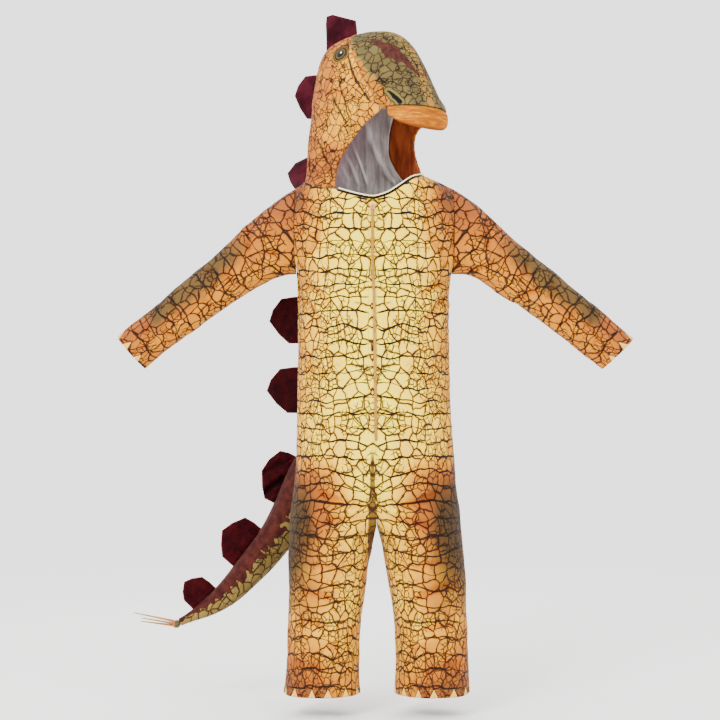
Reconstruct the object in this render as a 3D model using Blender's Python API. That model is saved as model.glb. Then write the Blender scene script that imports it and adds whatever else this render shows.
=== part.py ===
# A child's dinosaur costume: a hooded one-piece suit, filled out with nobody in it.
# Metres, +Z up. The suit faces -Y. Left and right are the wearer's, so left is +X.
# The origin lies between the shoulders, at the height where they carry the suit.

import math

import bpy
import numpy as np

# Cloth, seams and how round the sections are
CLOTH = 0.002
LINING = 0.0012
SEAM = 0.0003
ROUNDNESS = 0.87
RIGHT, LEFT = -1, 1
LEVEL = np.array((1.0, 1.0, 0.0))

# Columns of the panels: a front's, and a back's across its shoulder and from there on
FRONT_COLUMNS = 7
BACK_COLUMNS = {RIGHT: (2, 3), LEFT: (1, 8)}

# Heights that divide the suit
ARM_TOP = -0.003
ARM_LOW = -0.147
FORK_TOP = -0.450
CROTCH = -0.567
HEM = -0.842
YOKE_ROWS = 8
TRUNK_ROWS = 12
LEG_ROWS = 11
FORK_ANGLES = (18, 36, 52, 66, 78, 90)

# Centre front seam, armholes and shoulder points
CENTRE_X = -0.0047
CROTCH_X = 0.003
ARM_DEPTH = 0.050
SHOULDER_X = {RIGHT: -0.1330, LEFT: 0.1295}

# Neck seam: an oval that the hood stands on, its last seventh is the shoulder seam
NECK_TURN = 6 / 7
NECK_HALF_WIDTH = {RIGHT: 0.1123, LEFT: 0.0850}
NECK_FRONT = 0.080
NECK_BACK = 0.072
NECK_BACK_HEIGHT = -0.008

# The spine seam stands to the right, where the back cloth is drawn round, and
# comes to the middle of the back on its way down to the crotch
SPINE_TURN = -0.69
SPINE_BEND_TOP = -0.37
SPINE_BEND_HEIGHT = 0.19

# Colours
FRONT_COLOUR = (0.83, 0.62, 0.32)
BACK_COLOUR = (0.76, 0.50, 0.24)
SLEEVE_COLOUR = (0.80, 0.52, 0.24)
HOOD_COLOUR = (0.80, 0.56, 0.26)
RUST = (0.27, 0.045, 0.012)
SATIN = (0.26, 0.24, 0.23)
OLIVE = (0.25, 0.18, 0.065)
LIP_COLOUR = (0.72, 0.35, 0.12)
VELVET = (0.075, 0.010, 0.017)
TAIL_COLOUR = (0.33, 0.25, 0.12)
KNOT_COLOUR = (0.52, 0.28, 0.22)
STRAW = (0.69, 0.50, 0.25)
TAPE_COLOUR = (0.50, 0.30, 0.12)
SLIDER_COLOUR = (0.75, 0.55, 0.45)
PULL_COLOUR = (0.62, 0.42, 0.24)
CREAM = (0.85, 0.80, 0.66)
CLOTH_ROUGHNESS = 0.8
SATIN_ROUGHNESS = 0.4
HARD_ROUGHNESS = 0.5
SHARP_ANGLE = 0.7


def table(names, rows):
    """Columns of a small chart, by name."""
    return dict(zip(names.split(), np.array(rows, dtype=float).T))


def read(chart, key, place, wanted):
    """Value of one column where the key column has the given place, on a smooth curve."""
    order = np.argsort(chart[key])
    places = chart[key][order]
    values = chart[wanted][order]
    slopes = np.gradient(values, places)
    at = int(np.clip(np.searchsorted(places, place) - 1, 0, len(places) - 2))
    step = places[at + 1] - places[at]
    t = float(np.clip((place - places[at]) / step, 0, 1))
    start = (2 * t ** 3 - 3 * t ** 2 + 1) * values[at] + (t ** 3 - 2 * t ** 2 + t) * step * slopes[at]
    end = (3 * t ** 2 - 2 * t ** 3) * values[at + 1] + (t ** 3 - t ** 2) * step * slopes[at + 1]
    return start + end


SIDES = table("height right left", [
    (-0.147, -0.1305, 0.1280),
    (-0.187, -0.1292, 0.1250),
    (-0.248, -0.1285, 0.1240),
    (-0.310, -0.1292, 0.1250),
    (-0.372, -0.1300, 0.1265),
    (-0.433, -0.1310, 0.1315),
    (-0.498, -0.1357, 0.1360),
    (-0.542, -0.1415, 0.1420),
    (-0.593, -0.1443, 0.1470),
    (-0.665, -0.1450, 0.1525),
    (-0.737, -0.1460, 0.1545),
    (-0.807, -0.1490, 0.1568),
    (-0.842, -0.1530, 0.1575),
])

TRUNK = table("height front back", [
    (-0.147, 0.086, 0.080),
    (-0.250, 0.090, 0.085),
    (-0.350, 0.090, 0.088),
    (-0.450, 0.091, 0.092),
    (-0.567, 0.086, 0.090),
])

YOKE = table("up front back", [
    (0.0, 0.086, 0.080),
    (0.5, 0.085, 0.079),
    (0.8, 0.082, 0.076),
    (1.0, 0.078, 0.070),
])

LEGS = table("height right left depth", [
    (-0.567, 0.0022, 0.0038, 0.0770),
    (-0.580, 0.0000, 0.0085, 0.0760),
    (-0.600, -0.0050, 0.0130, 0.0745),
    (-0.640, -0.0125, 0.0180, 0.0715),
    (-0.697, -0.0195, 0.0290, 0.0670),
    (-0.752, -0.0252, 0.0337, 0.0625),
    (-0.800, -0.0267, 0.0337, 0.0590),
    (-0.842, -0.0252, 0.0337, 0.0560),
])

NECK = table("turn right left", [
    (0.00, -0.0240, -0.0240),
    (0.15, -0.0170, -0.0165),
    (0.33, -0.0085, -0.0020),
    (0.50, -0.0070, 0.0100),
    (0.70, 0.0000, 0.0155),
    (1.00, 0.0090, 0.0180),
])

# Large folds of the trunk and legs, seen from the front or the back
TRUNK_FOLDS = [
    # face, from x, from z, to x, to z, half width, depth
    ("front", -0.125, -0.165, -0.060, -0.245, 0.020, 0.0050),
    ("front", 0.120, -0.165, 0.062, -0.235, 0.020, 0.0050),
    ("front", -0.020, -0.535, -0.105, -0.500, 0.018, 0.0050),
    ("front", 0.026, -0.535, 0.110, -0.505, 0.018, 0.0050),
    ("front", -0.120, -0.690, -0.045, -0.715, 0.018, 0.0040),
    ("front", 0.125, -0.700, 0.060, -0.730, 0.018, 0.0040),
    ("back", 0.110, -0.170, 0.040, -0.230, 0.020, 0.0050),
    ("back", 0.100, -0.500, 0.025, -0.540, 0.018, 0.0050),
    ("back", -0.120, -0.680, -0.050, -0.700, 0.018, 0.0040),
    ("back", 0.130, -0.690, 0.060, -0.710, 0.018, 0.0040),
]


def lerp(a, b, t):
    return a + (b - a) * t


def smoothstep(t):
    t = min(max(t, 0.0), 1.0)
    return t * t * (3 - 2 * t)


def unit(vectors):
    return vectors / np.maximum(np.linalg.norm(vectors, axis=-1, keepdims=True), 1e-9)


def rounded(turn, fullness=ROUNDNESS):
    """A quarter turn on a full oval, as shares of its width and of its depth."""
    angle = turn * math.pi / 2
    return max(math.sin(angle), 0.0) ** fullness, max(math.cos(angle), 0.0) ** fullness


def side_name(side):
    return "right" if side == RIGHT else "left"


def finish(name, colour, roughness):
    """The plain colour of one piece."""
    material = bpy.data.materials.new(name)
    material.use_nodes = True
    shader = material.node_tree.nodes["Principled BSDF"]
    shader.inputs["Base Color"].default_value = (*colour, 1.0)
    shader.inputs["Roughness"].default_value = roughness
    shader.inputs["Metallic"].default_value = 0.0
    return material


def solid(name, points, faces, colour, roughness=CLOTH_ROUGHNESS):
    """One closed body from its points and faces, turned right side out."""
    points = np.asarray(points, dtype=float)
    triangles = [(f[0], f[k], f[k + 1]) for f in faces for k in range(1, len(f) - 1)]
    corners = points[np.array(triangles)]
    volume = np.einsum("ij,ij->i", corners[:, 0], np.cross(corners[:, 1], corners[:, 2])).sum()
    if volume < 0:
        triangles = [(a, c, b) for a, b, c in triangles]
    mesh = bpy.data.meshes.new(name)
    mesh.from_pydata(points.tolist(), [], triangles)
    mesh.update()
    mesh.shade_smooth()
    mesh.set_sharp_from_angle(angle=SHARP_ANGLE)
    mesh.materials.append(finish(name, colour, roughness))
    item = bpy.data.objects.new(name, mesh)
    bpy.context.scene.collection.objects.link(item)
    return item


def normals_of(grid, inside, before=None, after=None, above=None, below=None):
    """Directions out of a panel, also counting the neighbours' next points."""
    first = grid[:, 0] if before is None else np.where(np.isnan(before), grid[:, 0], before)
    last = grid[:, -1] if after is None else np.where(np.isnan(after), grid[:, -1], after)
    wide = np.concatenate([first[:, None], grid, last[:, None]], axis=1)
    top = grid[0] if above is None else above
    bottom = grid[-1] if below is None else below
    tall = np.concatenate([top[None], grid, bottom[None]], axis=0)
    across = unit(wide[:, 2:] - wide[:, :-2])
    along = unit(tall[2:] - tall[:-2])
    normals = unit(np.cross(across, along))
    facing = np.einsum("ijk,ijk->", normals, grid - np.asarray(inside))
    return normals if facing > 0 else -normals


def trimmed(grid, seams, gap=SEAM):
    """A panel pulled back by half a seam's gap on the named sides."""
    cut = grid.copy()
    if "first" in seams:
        cut[:, 0] += unit(grid[:, 1] - grid[:, 0]) * gap / 2
    if "last" in seams:
        cut[:, -1] += unit(grid[:, -2] - grid[:, -1]) * gap / 2
    if "top" in seams:
        cut[0] += unit(grid[1] - grid[0]) * gap / 2
    if "bottom" in seams:
        cut[-1] += unit(grid[-2] - grid[-1]) * gap / 2
    return cut


def wall(name, outer, normals, thickness, colour, closed=False, roughness=CLOTH_ROUGHNESS):
    """A panel of cloth: its outer points, the same points moved in, and its cut edges."""
    rows, columns = outer.shape[:2]
    thickness = np.broadcast_to(np.asarray(thickness, dtype=float), (rows, columns))
    inner = outer - normals * thickness[..., None]
    points = np.concatenate([outer.reshape(-1, 3), inner.reshape(-1, 3)])
    under = rows * columns
    faces = []
    spans = columns if closed else columns - 1
    for row in range(rows - 1):
        for column in range(spans):
            a = row * columns + column
            b = row * columns + (column + 1) % columns
            c, d = b + columns, a + columns
            faces += [(a, b, c), (a, c, d)]
            faces += [(a + under, c + under, b + under), (a + under, d + under, c + under)]
    top = [(k, (k + 1) % columns) for k in range(spans)]
    last_row = (rows - 1) * columns
    edges = top + [(last_row + b, last_row + a) for a, b in top]
    if not closed:
        for row in range(rows - 1):
            start = row * columns
            edges.append((start + columns - 1, start + 2 * columns - 1))
            edges.append((start + columns, start))
    for p, q in edges:
        faces += [(q, p, p + under), (q, p + under, q + under)]
    return solid(name, points, faces, colour, roughness)


def sweep(name, loops, colour, root_loops=(), roughness=CLOTH_ROUGHNESS):
    """A stuffed or solid piece through closed loops of points, ends filled from their middles."""
    loops = [np.asarray(loop) for loop in list(root_loops) + list(loops)]
    count = len(loops[0])
    points = np.concatenate(loops + [loops[0].mean(axis=0)[None], loops[-1].mean(axis=0)[None]])
    first_middle, last_middle = len(loops) * count, len(loops) * count + 1
    faces = []
    for ring in range(len(loops) - 1):
        for k in range(count):
            a = ring * count + k
            b = ring * count + (k + 1) % count
            faces += [(a, b, b + count), (a, b + count, a + count)]
    for k in range(count):
        after = (k + 1) % count
        faces.append((after, k, first_middle))
        faces.append((first_middle - count + k, first_middle - count + after, last_middle))
    return solid(name, points, faces, colour, roughness)


def folded(grid, normals, face):
    """A panel with the large folds of its face pressed in."""
    result = grid.copy()
    for where, x0, z0, x1, z1, width, depth in TRUNK_FOLDS:
        if where != face:
            continue
        start, run = np.array((x0, z0)), np.array((x1 - x0, z1 - z0))
        flat = grid[..., [0, 2]] - start
        along = np.clip((flat @ run) / (run @ run), 0, 1)
        distance = np.linalg.norm(flat - along[..., None] * run, axis=-1)
        press = depth * np.exp(-(distance / width) ** 2)
        result -= normals * press[..., None]
    return result


# Points of the suit's body
def neck_point(turn, side):
    """The neck seam: turn is 0 at the front, 1 over the shoulder, 2 at the back."""
    if turn < 0:
        return neck_point(-turn, -side)
    if turn > 2:
        return neck_point(4 - turn, -side)
    quarter = turn if turn <= 1 else 2 - turn
    across, deep = rounded(quarter)
    x = CENTRE_X + side * NECK_HALF_WIDTH[side] * across
    if turn <= 1:
        return np.array((x, -NECK_FRONT * deep, read(NECK, "turn", turn, side_name(side))))
    shoulder = read(NECK, "turn", 1, side_name(side))
    return np.array((x, NECK_BACK * deep, lerp(NECK_BACK_HEIGHT, shoulder, quarter ** 2)))


def top_point(turn, side, face):
    """The upper edge of a front or back: the neck seam, then the shoulder seam."""
    if turn <= NECK_TURN:
        share = turn / NECK_TURN
        return neck_point(share if face == "front" else 2 - share, side)
    shoulder = np.array((SHOULDER_X[side], 0.0, ARM_TOP))
    return lerp(neck_point(1, side), shoulder, (turn - NECK_TURN) / (1 - NECK_TURN))


def centre_x(height):
    return lerp(CENTRE_X, CROTCH_X, min(max(height / CROTCH, 0.0), 1.0))


def body_rows():
    """The cross rows from the neck to the hem, each a kind and its measure."""
    rows = [("yoke", (1 + math.cos(math.pi * k / YOKE_ROWS)) / 2) for k in range(YOKE_ROWS + 1)]
    rows += [("trunk", lerp(ARM_LOW, FORK_TOP, (k + 1) / TRUNK_ROWS)) for k in range(TRUNK_ROWS)]
    rows += [("fork", math.radians(angle)) for angle in FORK_ANGLES]
    rows += [("leg", lerp(CROTCH, HEM, (k + 1) / LEG_ROWS)) for k in range(LEG_ROWS)]
    return rows


def spine_turn(height):
    bend = smoothstep((SPINE_BEND_TOP - height) / SPINE_BEND_HEIGHT)
    return SPINE_TURN * (1 - bend)


def trunk_point(turn, side, face, height):
    """The trunk's section at one height: turn is 0 at the middle and 1 at the side seam."""
    across, deep = rounded(turn)
    middle = centre_x(height)
    reach = read(SIDES, "height", height, side_name(side))
    depth = read(TRUNK, "height", height, face)
    sign = -1 if face == "front" else 1
    return np.array((lerp(middle, reach, across), sign * depth * deep, height))


def yoke_point(turn, side, face, up):
    """The part beside the armholes, drawn in to the neck and shoulder seams."""
    across, deep = rounded(turn)
    widen = smoothstep(up / 0.15)
    reach = lerp(read(SIDES, "height", ARM_LOW, side_name(side)), SHOULDER_X[side], widen)
    armhole = ARM_DEPTH * 2 * math.sqrt(max(up * (1 - up), 0.0))
    depth = read(YOKE, "up", up, face) * deep + armhole * (1 - deep) ** 1.4
    sign = -1 if face == "front" else 1
    top = top_point(turn, side, face)
    level = np.array((lerp(CENTRE_X, reach, across), sign * depth, lerp(ARM_LOW, top[2], up)))
    return lerp(level, top, up ** (2 + 6 * turn ** 4))


def leg_point(turn, side, face, height):
    """The leg's section: turn is 0 at the inner seam and 1 at the side seam."""
    inner = read(LEGS, "height", min(height, CROTCH), side_name(side))
    outer = read(SIDES, "height", height, side_name(side))
    depth = read(LEGS, "height", min(height, CROTCH), "depth")
    middle, half = (inner + outer) / 2, (outer - inner) / 2
    angle = math.pi * turn
    sign = -1 if face == "front" else 1
    return np.array((middle - half * math.cos(angle), sign * depth * rounded(2 * min(turn, 1 - turn))[0], height))


def body_point(kind, measure, share, side, face):
    """A point of a front or back; share runs from the front seam, or the side seam, on."""
    if kind == "leg":
        return leg_point(share if face == "front" else 1 - share, side, face, measure)
    height = {"yoke": lerp(ARM_LOW, ARM_TOP, measure), "trunk": measure}.get(kind)
    if kind == "fork":
        height = lerp(FORK_TOP, CROTCH, math.sin(measure))
    turn, where = share, side
    if face == "back":
        turn = lerp(side, spine_turn(height), share)
        where = RIGHT if turn < 0 else LEFT
        turn = abs(turn)
    if kind == "yoke":
        return yoke_point(turn, where, face, measure)
    point = trunk_point(turn, where, face, height)
    if kind == "trunk":
        return point
    outward = share if face == "front" else 1 - share
    leg = leg_point(outward, side, face, height)
    at_seam = (1 - min(outward * 2, 1.0)) ** 2
    return lerp(point, leg, lerp(smoothstep(math.sin(measure)), 1 - math.cos(measure), at_seam))


def panel_shares(side, face):
    """Places of a panel's columns; one of the back's meets the neck end of the shoulder seam."""
    if face == "front":
        return [k / FRONT_COLUMNS for k in range(FRONT_COLUMNS + 1)]
    shoulder, rest = BACK_COLUMNS[side]
    neck = (1 - NECK_TURN) / abs(side - SPINE_TURN)
    return ([neck * k / shoulder for k in range(shoulder)]
            + [lerp(neck, 1.0, k / rest) for k in range(rest + 1)])


def body_grid(side, face):
    return np.array([[body_point(kind, measure, share, side, face) for share in panel_shares(side, face)]
                     for kind, measure in body_rows()])


def over_shoulder(grid, side, face):
    """The first points past the shoulder seam, on the other face, for the upper edge's directions."""
    above = grid[0].copy()
    up = body_rows()[1][1]
    for column, share in enumerate(panel_shares(side, face)):
        turn = share if face == "front" else abs(lerp(side, SPINE_TURN, share))
        on_shoulder = share >= NECK_TURN - 1e-6 if face == "front" else column <= BACK_COLUMNS[side][0]
        if on_shoulder:
            above[column] = yoke_point(turn, side, "back" if face == "front" else "front", up)
    return above


def build_body():
    """Fronts and backs, which share their directions at each seam."""
    grids = {(side, face): body_grid(side, face) for side in (RIGHT, LEFT) for face in ("front", "back")}
    kinds = [kind for kind, _ in body_rows()]
    fork_end = len(kinds) - LEG_ROWS - 1
    in_armhole = np.array([kind == "yoke" for kind in kinds])
    in_armhole[YOKE_ROWS] = False
    colours = {"front": FRONT_COLOUR, "back": BACK_COLOUR}
    normals = {}
    for (side, face), grid in grids.items():
        partner = grids[side, "back" if face == "front" else "front"]
        opposite = grids[-side, face]
        seam = opposite[:, 1 if face == "front" else -2].copy()
        seam[fork_end:] = partner[fork_end:, -2 if face == "front" else 1]
        side_seam = partner[:, 1 if face == "front" else -2].copy()
        side_seam[in_armhole] = np.nan
        before, after = (seam, side_seam) if face == "front" else (side_seam, seam)
        above = over_shoulder(grid, side, face)
        normals[side, face] = normals_of(grid, (0.0, 0.0, FORK_TOP), before, after, above)
        name = f"{face}_{side_name(side)}"
        cut = trimmed(folded(grid, normals[side, face], face), ("first", "last", "top"))
        wall(name, cut, normals[side, face], CLOTH, colours[face])
    return grids, normals


# Sleeves: sections from the armhole to the cuff
SLEEVES = {
    RIGHT: table("top_x top_z low_x low_z depth", [
        (-0.1558, -0.0150, -0.1440, -0.1475, 0.0500),
        (-0.1783, -0.0317, -0.1583, -0.1517, 0.0495),
        (-0.2095, -0.0577, -0.1750, -0.1583, 0.0480),
        (-0.2367, -0.0825, -0.1917, -0.1667, 0.0460),
        (-0.2630, -0.1078, -0.2075, -0.1745, 0.0440),
        (-0.2988, -0.1392, -0.2477, -0.2008, 0.0400),
        (-0.3200, -0.1570, -0.2690, -0.2170, 0.0385),
        (-0.3412, -0.1750, -0.2922, -0.2330, 0.0370),
        (-0.3600, -0.1920, -0.3110, -0.2480, 0.0355),
        (-0.3792, -0.2083, -0.3333, -0.2633, 0.0340),
        (-0.4003, -0.2228, -0.3533, -0.2775, 0.0325),
        (-0.4160, -0.2370, -0.3680, -0.2900, 0.0310),
        (-0.4293, -0.2497, -0.3817, -0.3033, 0.0300),
    ]),
    LEFT: table("top_x top_z low_x low_z depth", [
        (0.1520, -0.0150, 0.1400, -0.1470, 0.0500),
        (0.1750, -0.0330, 0.1500, -0.1480, 0.0495),
        (0.2010, -0.0560, 0.1590, -0.1500, 0.0480),
        (0.2243, -0.0783, 0.1720, -0.1540, 0.0460),
        (0.2550, -0.1045, 0.1990, -0.1735, 0.0435),
        (0.2867, -0.1300, 0.2333, -0.1942, 0.0410),
        (0.3090, -0.1490, 0.2570, -0.2110, 0.0390),
        (0.3317, -0.1683, 0.2817, -0.2300, 0.0370),
        (0.3520, -0.1840, 0.3020, -0.2450, 0.0355),
        (0.3730, -0.2010, 0.3230, -0.2610, 0.0340),
        (0.3917, -0.2167, 0.3417, -0.2760, 0.0325),
        (0.4142, -0.2383, 0.3600, -0.2905, 0.0310),
        (0.4308, -0.2517, 0.3762, -0.3042, 0.0300),
    ]),
}

SLEEVE_FOLDS = [
    # ring along the sleeve, degrees round from underneath, reach in rings, reach in degrees, depth
    (2.5, 55, 1.3, 45, 0.0045),
    (5.0, 120, 1.2, 50, 0.0035),
    (7.5, 60, 1.2, 45, 0.0035),
    (9.5, 290, 1.2, 45, 0.0035),
    (4.0, 250, 1.3, 50, 0.0040),
    (11.0, 110, 1.1, 45, 0.0030),
]


def build_sleeves(grids):
    for side in (RIGHT, LEFT):
        chart = SLEEVES[side]
        front = grids[side, "front"][YOKE_ROWS::-1, -1]
        back = grids[side, "back"][1:YOKE_ROWS, 0]
        armhole = np.concatenate([front, back]) + np.array((side * 2 * SEAM, 0.0, 0.0))
        rings = [armhole]
        count = len(armhole)
        for k in range(len(chart["depth"])):
            low = np.array((chart["low_x"][k], 0.0, chart["low_z"][k]))
            top = np.array((chart["top_x"][k], 0.0, chart["top_z"][k]))
            ring = []
            for spoke in range(count):
                angle = 2 * math.pi * spoke / count
                point = lerp(low, top, (1 - math.cos(angle)) / 2)
                ring.append(point - np.array((0.0, chart["depth"][k] * math.sin(angle), 0.0)))
            rings.append(np.array(ring))
        grid = np.array(rings)
        normals = normals_of(grid, grid.mean(axis=(0, 1)), before=grid[:, -1], after=grid[:, 0])
        for ring, degrees, along, around, depth in SLEEVE_FOLDS:
            for spoke in range(count):
                apart = (360 * spoke / count - degrees + 180) % 360 - 180
                for row in range(1, len(grid)):
                    press = math.exp(-((row - ring) / along) ** 2 - (apart / around) ** 2)
                    grid[row, spoke] -= normals[row, spoke] * depth * press
        wall(f"sleeve_{side_name(side)}", grid, normals, CLOTH, SLEEVE_COLOUR, closed=True)


# Hood: it looks over the wearer's left shoulder, so it has its own forward direction
HOOD_YAW = math.radians(50)
HOOD_CENTRE = (-0.015, 0.0)
HOOD_ROWS = 10
HOOD_COLUMNS = 10
HOOD_LIFT = 0.0007
HOOD_ROOT = 0.2
HOOD_FULLNESS = (0.72, 0.95)
HOOD_INSIDE = 0.12
FACING_COLUMNS = 2
FACING_EDGE = 0.0016
LINING_GAP = 0.0007
CORNER_TURN = {RIGHT: 1 / 3, LEFT: 1.05}
SPINE_NECK_TURN = 2 + SPINE_TURN / NECK_TURN

# Measures forward, to the side and up: first the face edge, then the spine seam
HOOD = {
    RIGHT: table("up edge_out edge_side edge_high back_out back_high", [
        (0.00, 0.0098, 0.0832, -0.0067, -0.0900, 0.0100),
        (0.14, -0.0020, 0.0800, 0.0150, -0.1000, 0.0550),
        (0.28, 0.0110, 0.0780, 0.0430, -0.1035, 0.0950),
        (0.42, 0.0303, 0.0770, 0.0665, -0.1025, 0.1420),
        (0.56, 0.0492, 0.0760, 0.0857, -0.0970, 0.1850),
        (0.70, 0.0670, 0.0755, 0.0995, -0.0900, 0.2200),
        (0.85, 0.0850, 0.0755, 0.1085, -0.0640, 0.2460),
        (1.00, 0.0955, 0.0765, 0.1160, -0.0150, 0.2560),
    ]),
    LEFT: table("up edge_out edge_side edge_high back_out back_high", [
        (0.00, 0.0698, 0.0651, 0.0180, -0.0900, 0.0100),
        (0.14, 0.0508, 0.0760, 0.0400, -0.1000, 0.0550),
        (0.28, 0.0425, 0.0780, 0.0640, -0.1035, 0.0950),
        (0.42, 0.0430, 0.0770, 0.0850, -0.1025, 0.1420),
        (0.56, 0.0525, 0.0760, 0.0985, -0.0970, 0.1850),
        (0.70, 0.0680, 0.0755, 0.1055, -0.0900, 0.2200),
        (0.85, 0.0850, 0.0755, 0.1110, -0.0640, 0.2460),
        (1.00, 0.0955, 0.0765, 0.1160, -0.0150, 0.2560),
    ]),
}


def hood_place(out, sideways, high):
    """A point from its measures forward of the hood's middle, to its right, and up."""
    cosine, sine = math.cos(HOOD_YAW), math.sin(HOOD_YAW)
    x = HOOD_CENTRE[0] + out * sine - sideways * cosine
    y = HOOD_CENTRE[1] - out * cosine - sideways * sine
    return np.array((x, y, high))


def hood_point(side, up, share):
    """The hood's cloth: up from the neck seam, share from the face edge to the spine."""
    spine = SPINE_NECK_TURN if side == RIGHT else 4 - SPINE_NECK_TURN
    base = neck_point(lerp(CORNER_TURN[side], spine, share), side) + np.array((0.0, 0.0, HOOD_LIFT))
    chart = HOOD[side]
    measure = {name: read(chart, "up", up, name) for name in chart if name != "up"}
    fullness = lerp(*HOOD_FULLNESS, smoothstep(up / 0.45))
    back, sideways = rounded(share, fullness)
    out = lerp(measure["edge_out"], measure["back_out"], back)
    high = lerp(measure["edge_high"], measure["back_high"], math.sin(share * math.pi / 2))
    point = hood_place(out, -side * measure["edge_side"] * sideways, high)
    return lerp(base, point, smoothstep(up / HOOD_ROOT))


def hood_grid(side):
    return np.array([[hood_point(side, row / HOOD_ROWS, column / HOOD_COLUMNS)
                      for column in range(HOOD_COLUMNS + 1)] for row in range(HOOD_ROWS + 1)])


# Snout: a padded cap from the crease to the lip
SNOUT_ROWS = 8
SNOUT_PADDING = 0.028
SNOUT_NARROWING = 0.15
SNOUT_PROFILE = table("share forward up", [
    (0.00, 0.00, 1.00),
    (0.25, 0.33, 1.01),
    (0.45, 0.58, 0.93),
    (0.60, 0.72, 0.75),
    (0.80, 0.88, 0.38),
    (1.00, 1.00, 0.00),
])
LIP_REACH = (0.1000, 0.1390)
LIP_HALF_WIDTH = 0.0745
LIP_TOP = (0.1180, 0.1225)
LIP_DROP = 0.034
LIP_THICK = 0.0135
LIP_STAND = 0.004
UNDERSIDE = 0.0015
LIP_SPOKES = 10
UNDER_EDGE = 63


def snout_angles():
    count = 2 * HOOD_COLUMNS
    return [lerp(-90.0, 90.0, k / count) for k in range(count + 1)]


def lip_point(degrees):
    """The upper edge of the lip: -90 is its right corner, 0 its front, 90 its left corner."""
    front = max(math.cos(math.radians(degrees)), 0.0)
    out = lerp(LIP_REACH[0], LIP_REACH[1], front)
    high = lerp(LIP_TOP[0], LIP_TOP[1], front)
    return out, -LIP_HALF_WIDTH * math.sin(math.radians(degrees)), high


def snout_grid(crease):
    """Rows from the crease, given as world points, to the lip's upper edge."""
    cosine, sine = math.cos(HOOD_YAW), math.sin(HOOD_YAW)
    flat = crease[:, :2] - np.array(HOOD_CENTRE)
    start_out = flat[:, 0] * sine - flat[:, 1] * cosine
    start_side = -flat[:, 0] * cosine - flat[:, 1] * sine
    rows = []
    for row in range(SNOUT_ROWS + 1):
        share = row / SNOUT_ROWS
        forward = read(SNOUT_PROFILE, "share", share, "forward")
        upward = read(SNOUT_PROFILE, "share", share, "up")
        narrow = 1 - SNOUT_NARROWING * math.sin(math.pi * share)
        points = []
        for k, degrees in enumerate(snout_angles()):
            out, sideways, high = lip_point(degrees)
            front = max(math.cos(math.radians(degrees)), 0.0)
            ahead = lerp(share, forward, front)
            above = lerp(1 - share, upward, front)
            points.append(hood_place(lerp(start_out[k], out, ahead),
                                     lerp(start_side[k], sideways, share) * narrow,
                                     lerp(high, crease[k, 2], above)))
        rows.append(points)
    grid = np.array(rows)
    grid[0] = crease
    return grid


def build_hood():
    grids = {side: hood_grid(side) for side in (RIGHT, LEFT)}
    crease = np.concatenate([grids[RIGHT][-1], grids[LEFT][-1][-2::-1]])
    snout = snout_grid(crease)
    ahead = {RIGHT: snout[1][:HOOD_COLUMNS + 1], LEFT: snout[1][:HOOD_COLUMNS - 1:-1]}
    inside = hood_place(0.0, 0.0, HOOD_INSIDE)
    for side in (RIGHT, LEFT):
        grid, other = grids[side], grids[-side]
        name = side_name(side)
        normals = normals_of(grid, inside, after=other[:, -2], below=ahead[side])
        normals[0] = unit(normals[0] * LEVEL)
        cut = trimmed(grid, ("last", "bottom"))
        wall(f"hood_{name}", cut, normals, CLOTH, HOOD_COLOUR)
        within = grid - normals * (CLOTH + LINING_GAP)
        split = FACING_COLUMNS + 1
        facing = trimmed(within[:, :split], ("last", "bottom"), 3 * SEAM)
        facing = trimmed(facing, ("first", "bottom"), FACING_EDGE)
        wall(f"hood_facing_{name}", facing, normals[:, :split], LINING, RUST)
        lining = trimmed(within[:, split - 1:], ("first", "last", "bottom"), 3 * SEAM)
        wall(f"hood_lining_{name}", lining, normals[:, split - 1:], LINING, SATIN, roughness=SATIN_ROUGHNESS)
    behind = np.concatenate([grids[RIGHT][-2], grids[LEFT][-2][-2::-1]])
    build_snout(snout, behind, inside)
    return grids


def build_snout(grid, behind, inside):
    normals = normals_of(grid, inside, above=behind)
    normals[-1] = unit(normals[-1] * LEVEL)
    front = np.array([max(math.cos(math.radians(a)), 0.0) for a in snout_angles()])
    rise = np.array([math.sin(math.pi / 2 * row / SNOUT_ROWS) ** 2 for row in range(SNOUT_ROWS + 1)])
    padding = CLOTH + SNOUT_PADDING * rise[:, None] * front[None, :]
    cut = trimmed(grid, ("top",))
    wall("snout_top", cut, normals, padding, OLIVE)
    roof = (grid - normals * (padding + LINING_GAP)[..., None])[1:, 2:-2]
    wall("snout_lining", roof, normals[1:, 2:-2], LINING, SATIN, roughness=SATIN_ROUGHNESS)
    build_lip(grid[-1], normals[-1], padding[-1])


def build_lip(edge, normals, padding):
    """The padded roll under the lip edge, and the strip of cloth behind it."""
    down = np.array((0.0, 0.0, -1.0))
    loops, strip, strip_normals = [], [], []
    for k, degrees in enumerate(snout_angles()):
        if k in (0, len(edge) - 1):
            continue
        front = math.cos(math.radians(degrees))
        drop = LIP_DROP * front ** 0.6 + 0.003
        thick = LIP_THICK * front ** 0.5 + 0.002
        outward = unit(normals[k] * LEVEL)
        middle = edge[k] + down * (drop / 2 + 2 * SEAM) - outward * (thick / 2 - LIP_STAND * front)
        loop = []
        for spoke in range(LIP_SPOKES):
            angle = 2 * math.pi * spoke / LIP_SPOKES
            rise = math.copysign(abs(math.cos(angle)) ** 0.8, math.cos(angle))
            reach = math.copysign(abs(math.sin(angle)) ** 0.8, math.sin(angle))
            loop.append(middle - down * rise * drop / 2 + outward * reach * thick / 2)
        loops.append(loop)
        if abs(degrees) <= UNDER_EDGE:
            back = thick - LIP_STAND * front + 2 * SEAM
            reach = padding[k]
            strip.append([edge[k] + down * 2 * SEAM - outward * lerp(back, reach, j / 3) for j in range(4)])
            strip_normals.append([-down] * 4)
    sweep("snout_lip", loops, LIP_COLOUR)
    wall("snout_underside", np.array(strip), np.array(strip_normals), UNDERSIDE, RUST)


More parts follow.
